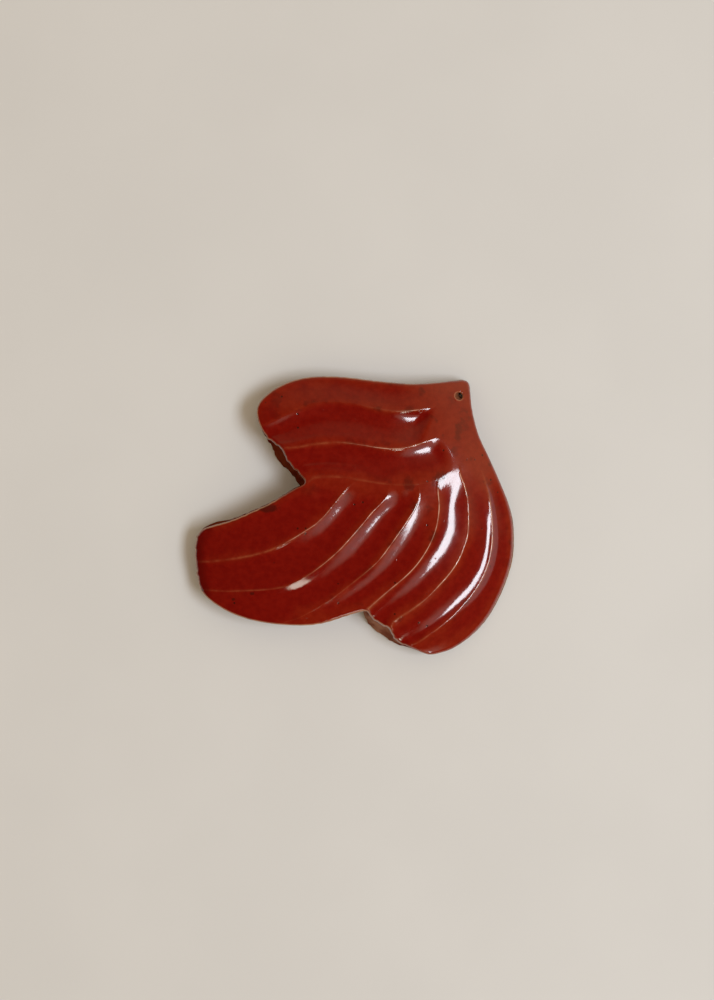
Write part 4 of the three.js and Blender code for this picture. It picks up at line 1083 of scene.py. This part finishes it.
paint_floor(floor_wire)
bm = bmesh.new()
bmesh.ops.create_grid(bm, x_segments=2, y_segments=2, size=3.0)
floor_mesh = bpy.data.meshes.new("floor")
bm.to_mesh(floor_mesh)
bm.free()
floor_mesh.materials.append(floor_finish)
floor = placed("floor", floor_mesh)
floor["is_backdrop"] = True

# %% Window, room and camera
WINDOW_AWAY, WINDOW_SIZE, WINDOW_POWER = 2.0, (0.54, 0.92), 24.0
WINDOW_ZENITH, WINDOW_TOWARDS = math.radians(30), Vector((0.975, -0.22, 0)).normalized()
window_light = bpy.data.lights.new("window", "AREA")
window_light.shape = "RECTANGLE"
window_light.size, window_light.size_y = WINDOW_SIZE
window_light.energy = WINDOW_POWER
window_light.color = (0.92, 1.0, 1.08)
window = placed("window", window_light)
direction = WINDOW_TOWARDS * math.sin(WINDOW_ZENITH) + Vector((0, 0, math.cos(WINDOW_ZENITH)))
window.location = direction * WINDOW_AWAY
across_window = Vector((0, 0, 1)).cross(direction).normalized()
facing = Matrix((direction.cross(across_window) * -1, across_window, direction)).transposed()
window.rotation_euler = facing.to_euler()

world = bpy.data.worlds.new("room")
bpy.context.scene.world = world
world.use_nodes = True
world.node_tree.nodes.clear()


def light_room(wire):
    """The room as the glaze mirrors it, as it lights the clay, and as the camera sees it."""
    towards = wire.node("ShaderNodeTexCoord", output=0)
    x, y, z = (towards.part(k) for k in (0, 1, 2))

    def patch(middle, wide, tall, full):
        """A soft oval in the direction of its middle, which fades from full to its rim."""
        off_x, off_y = (x - middle[0]) / wide, (y - middle[1]) / tall
        return (off_x * off_x + off_y * off_y).step(1.0, full)

    window_wall = patch((0.38, -0.36), 0.33, 0.34, full=0.1)
    lamp = patch((0.12, -0.78), 0.12, 0.12, full=0.4)
    right_wall = x.step(-0.15, 0.95) * (0.10 + y.step(-0.25, 0.15) * 0.90)
    mirrored = 0.02 + y.step(0.45, 0.85) * 0.20 + right_wall * 0.45 + window_wall * 0.75 + lamp * 7.5
    seen, glossy = (wire.node("ShaderNodeLightPath", output=k) for k in (0, 3))
    lighting = (0.15 + z * 0.67 + x * 0.12).at_least(0.02)
    strength = lighting + glossy * (mirrored - lighting)
    strength = strength + seen * (0.95 - strength)
    mirrored_colour = mix(wire, window_wall.at_least(lamp), (1.2, 1.0, 0.55, 1), (1.0, 1.0, 0.85, 1))
    colour = mix(wire, glossy, (1.0, 0.80, 0.56, 1), mirrored_colour)
    colour = mix(wire, seen, colour, (0.68, 0.62, 0.56, 1))
    background = wire.node("ShaderNodeBackground", Color=colour, Strength=strength)
    out = wire.tree.nodes.new("ShaderNodeOutputWorld")
    wire.tree.links.new(background.socket, out.inputs["Surface"])


light_room(Wire(world.node_tree))
CAMERA_AWAY, AIM, FRAME_TALL = 0.655, (0.9, 7.2, 14.0), 0.450
camera_data = bpy.data.cameras.new("camera")
camera_data.lens = 18 * CAMERA_AWAY / (FRAME_TALL / 2)
camera = placed("camera", camera_data)
camera.location = ((AIM[0] + shift[0]) * MM, (AIM[1] + shift[1]) * MM, AIM[2] * MM + CAMERA_AWAY)
bpy.context.scene.camera = camera
bpy.context.scene.view_settings.view_transform = "Standard"
print("lens", round(camera_data.lens, 1), "mm, window at", [round(c, 2) for c in window.location])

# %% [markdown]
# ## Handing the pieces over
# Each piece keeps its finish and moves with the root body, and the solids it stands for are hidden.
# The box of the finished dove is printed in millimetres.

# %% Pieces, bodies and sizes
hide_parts("relief_shell")
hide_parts("back_slab")
for pad, name in zip(pads, PAD_NODES):
    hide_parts(name)
for piece in [shell, slab] + pads:
    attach(piece, "root")
low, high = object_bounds()
print("box of the finished dove in mm:", [round((b - a) / MM, 2) for a, b in zip(low, high)])
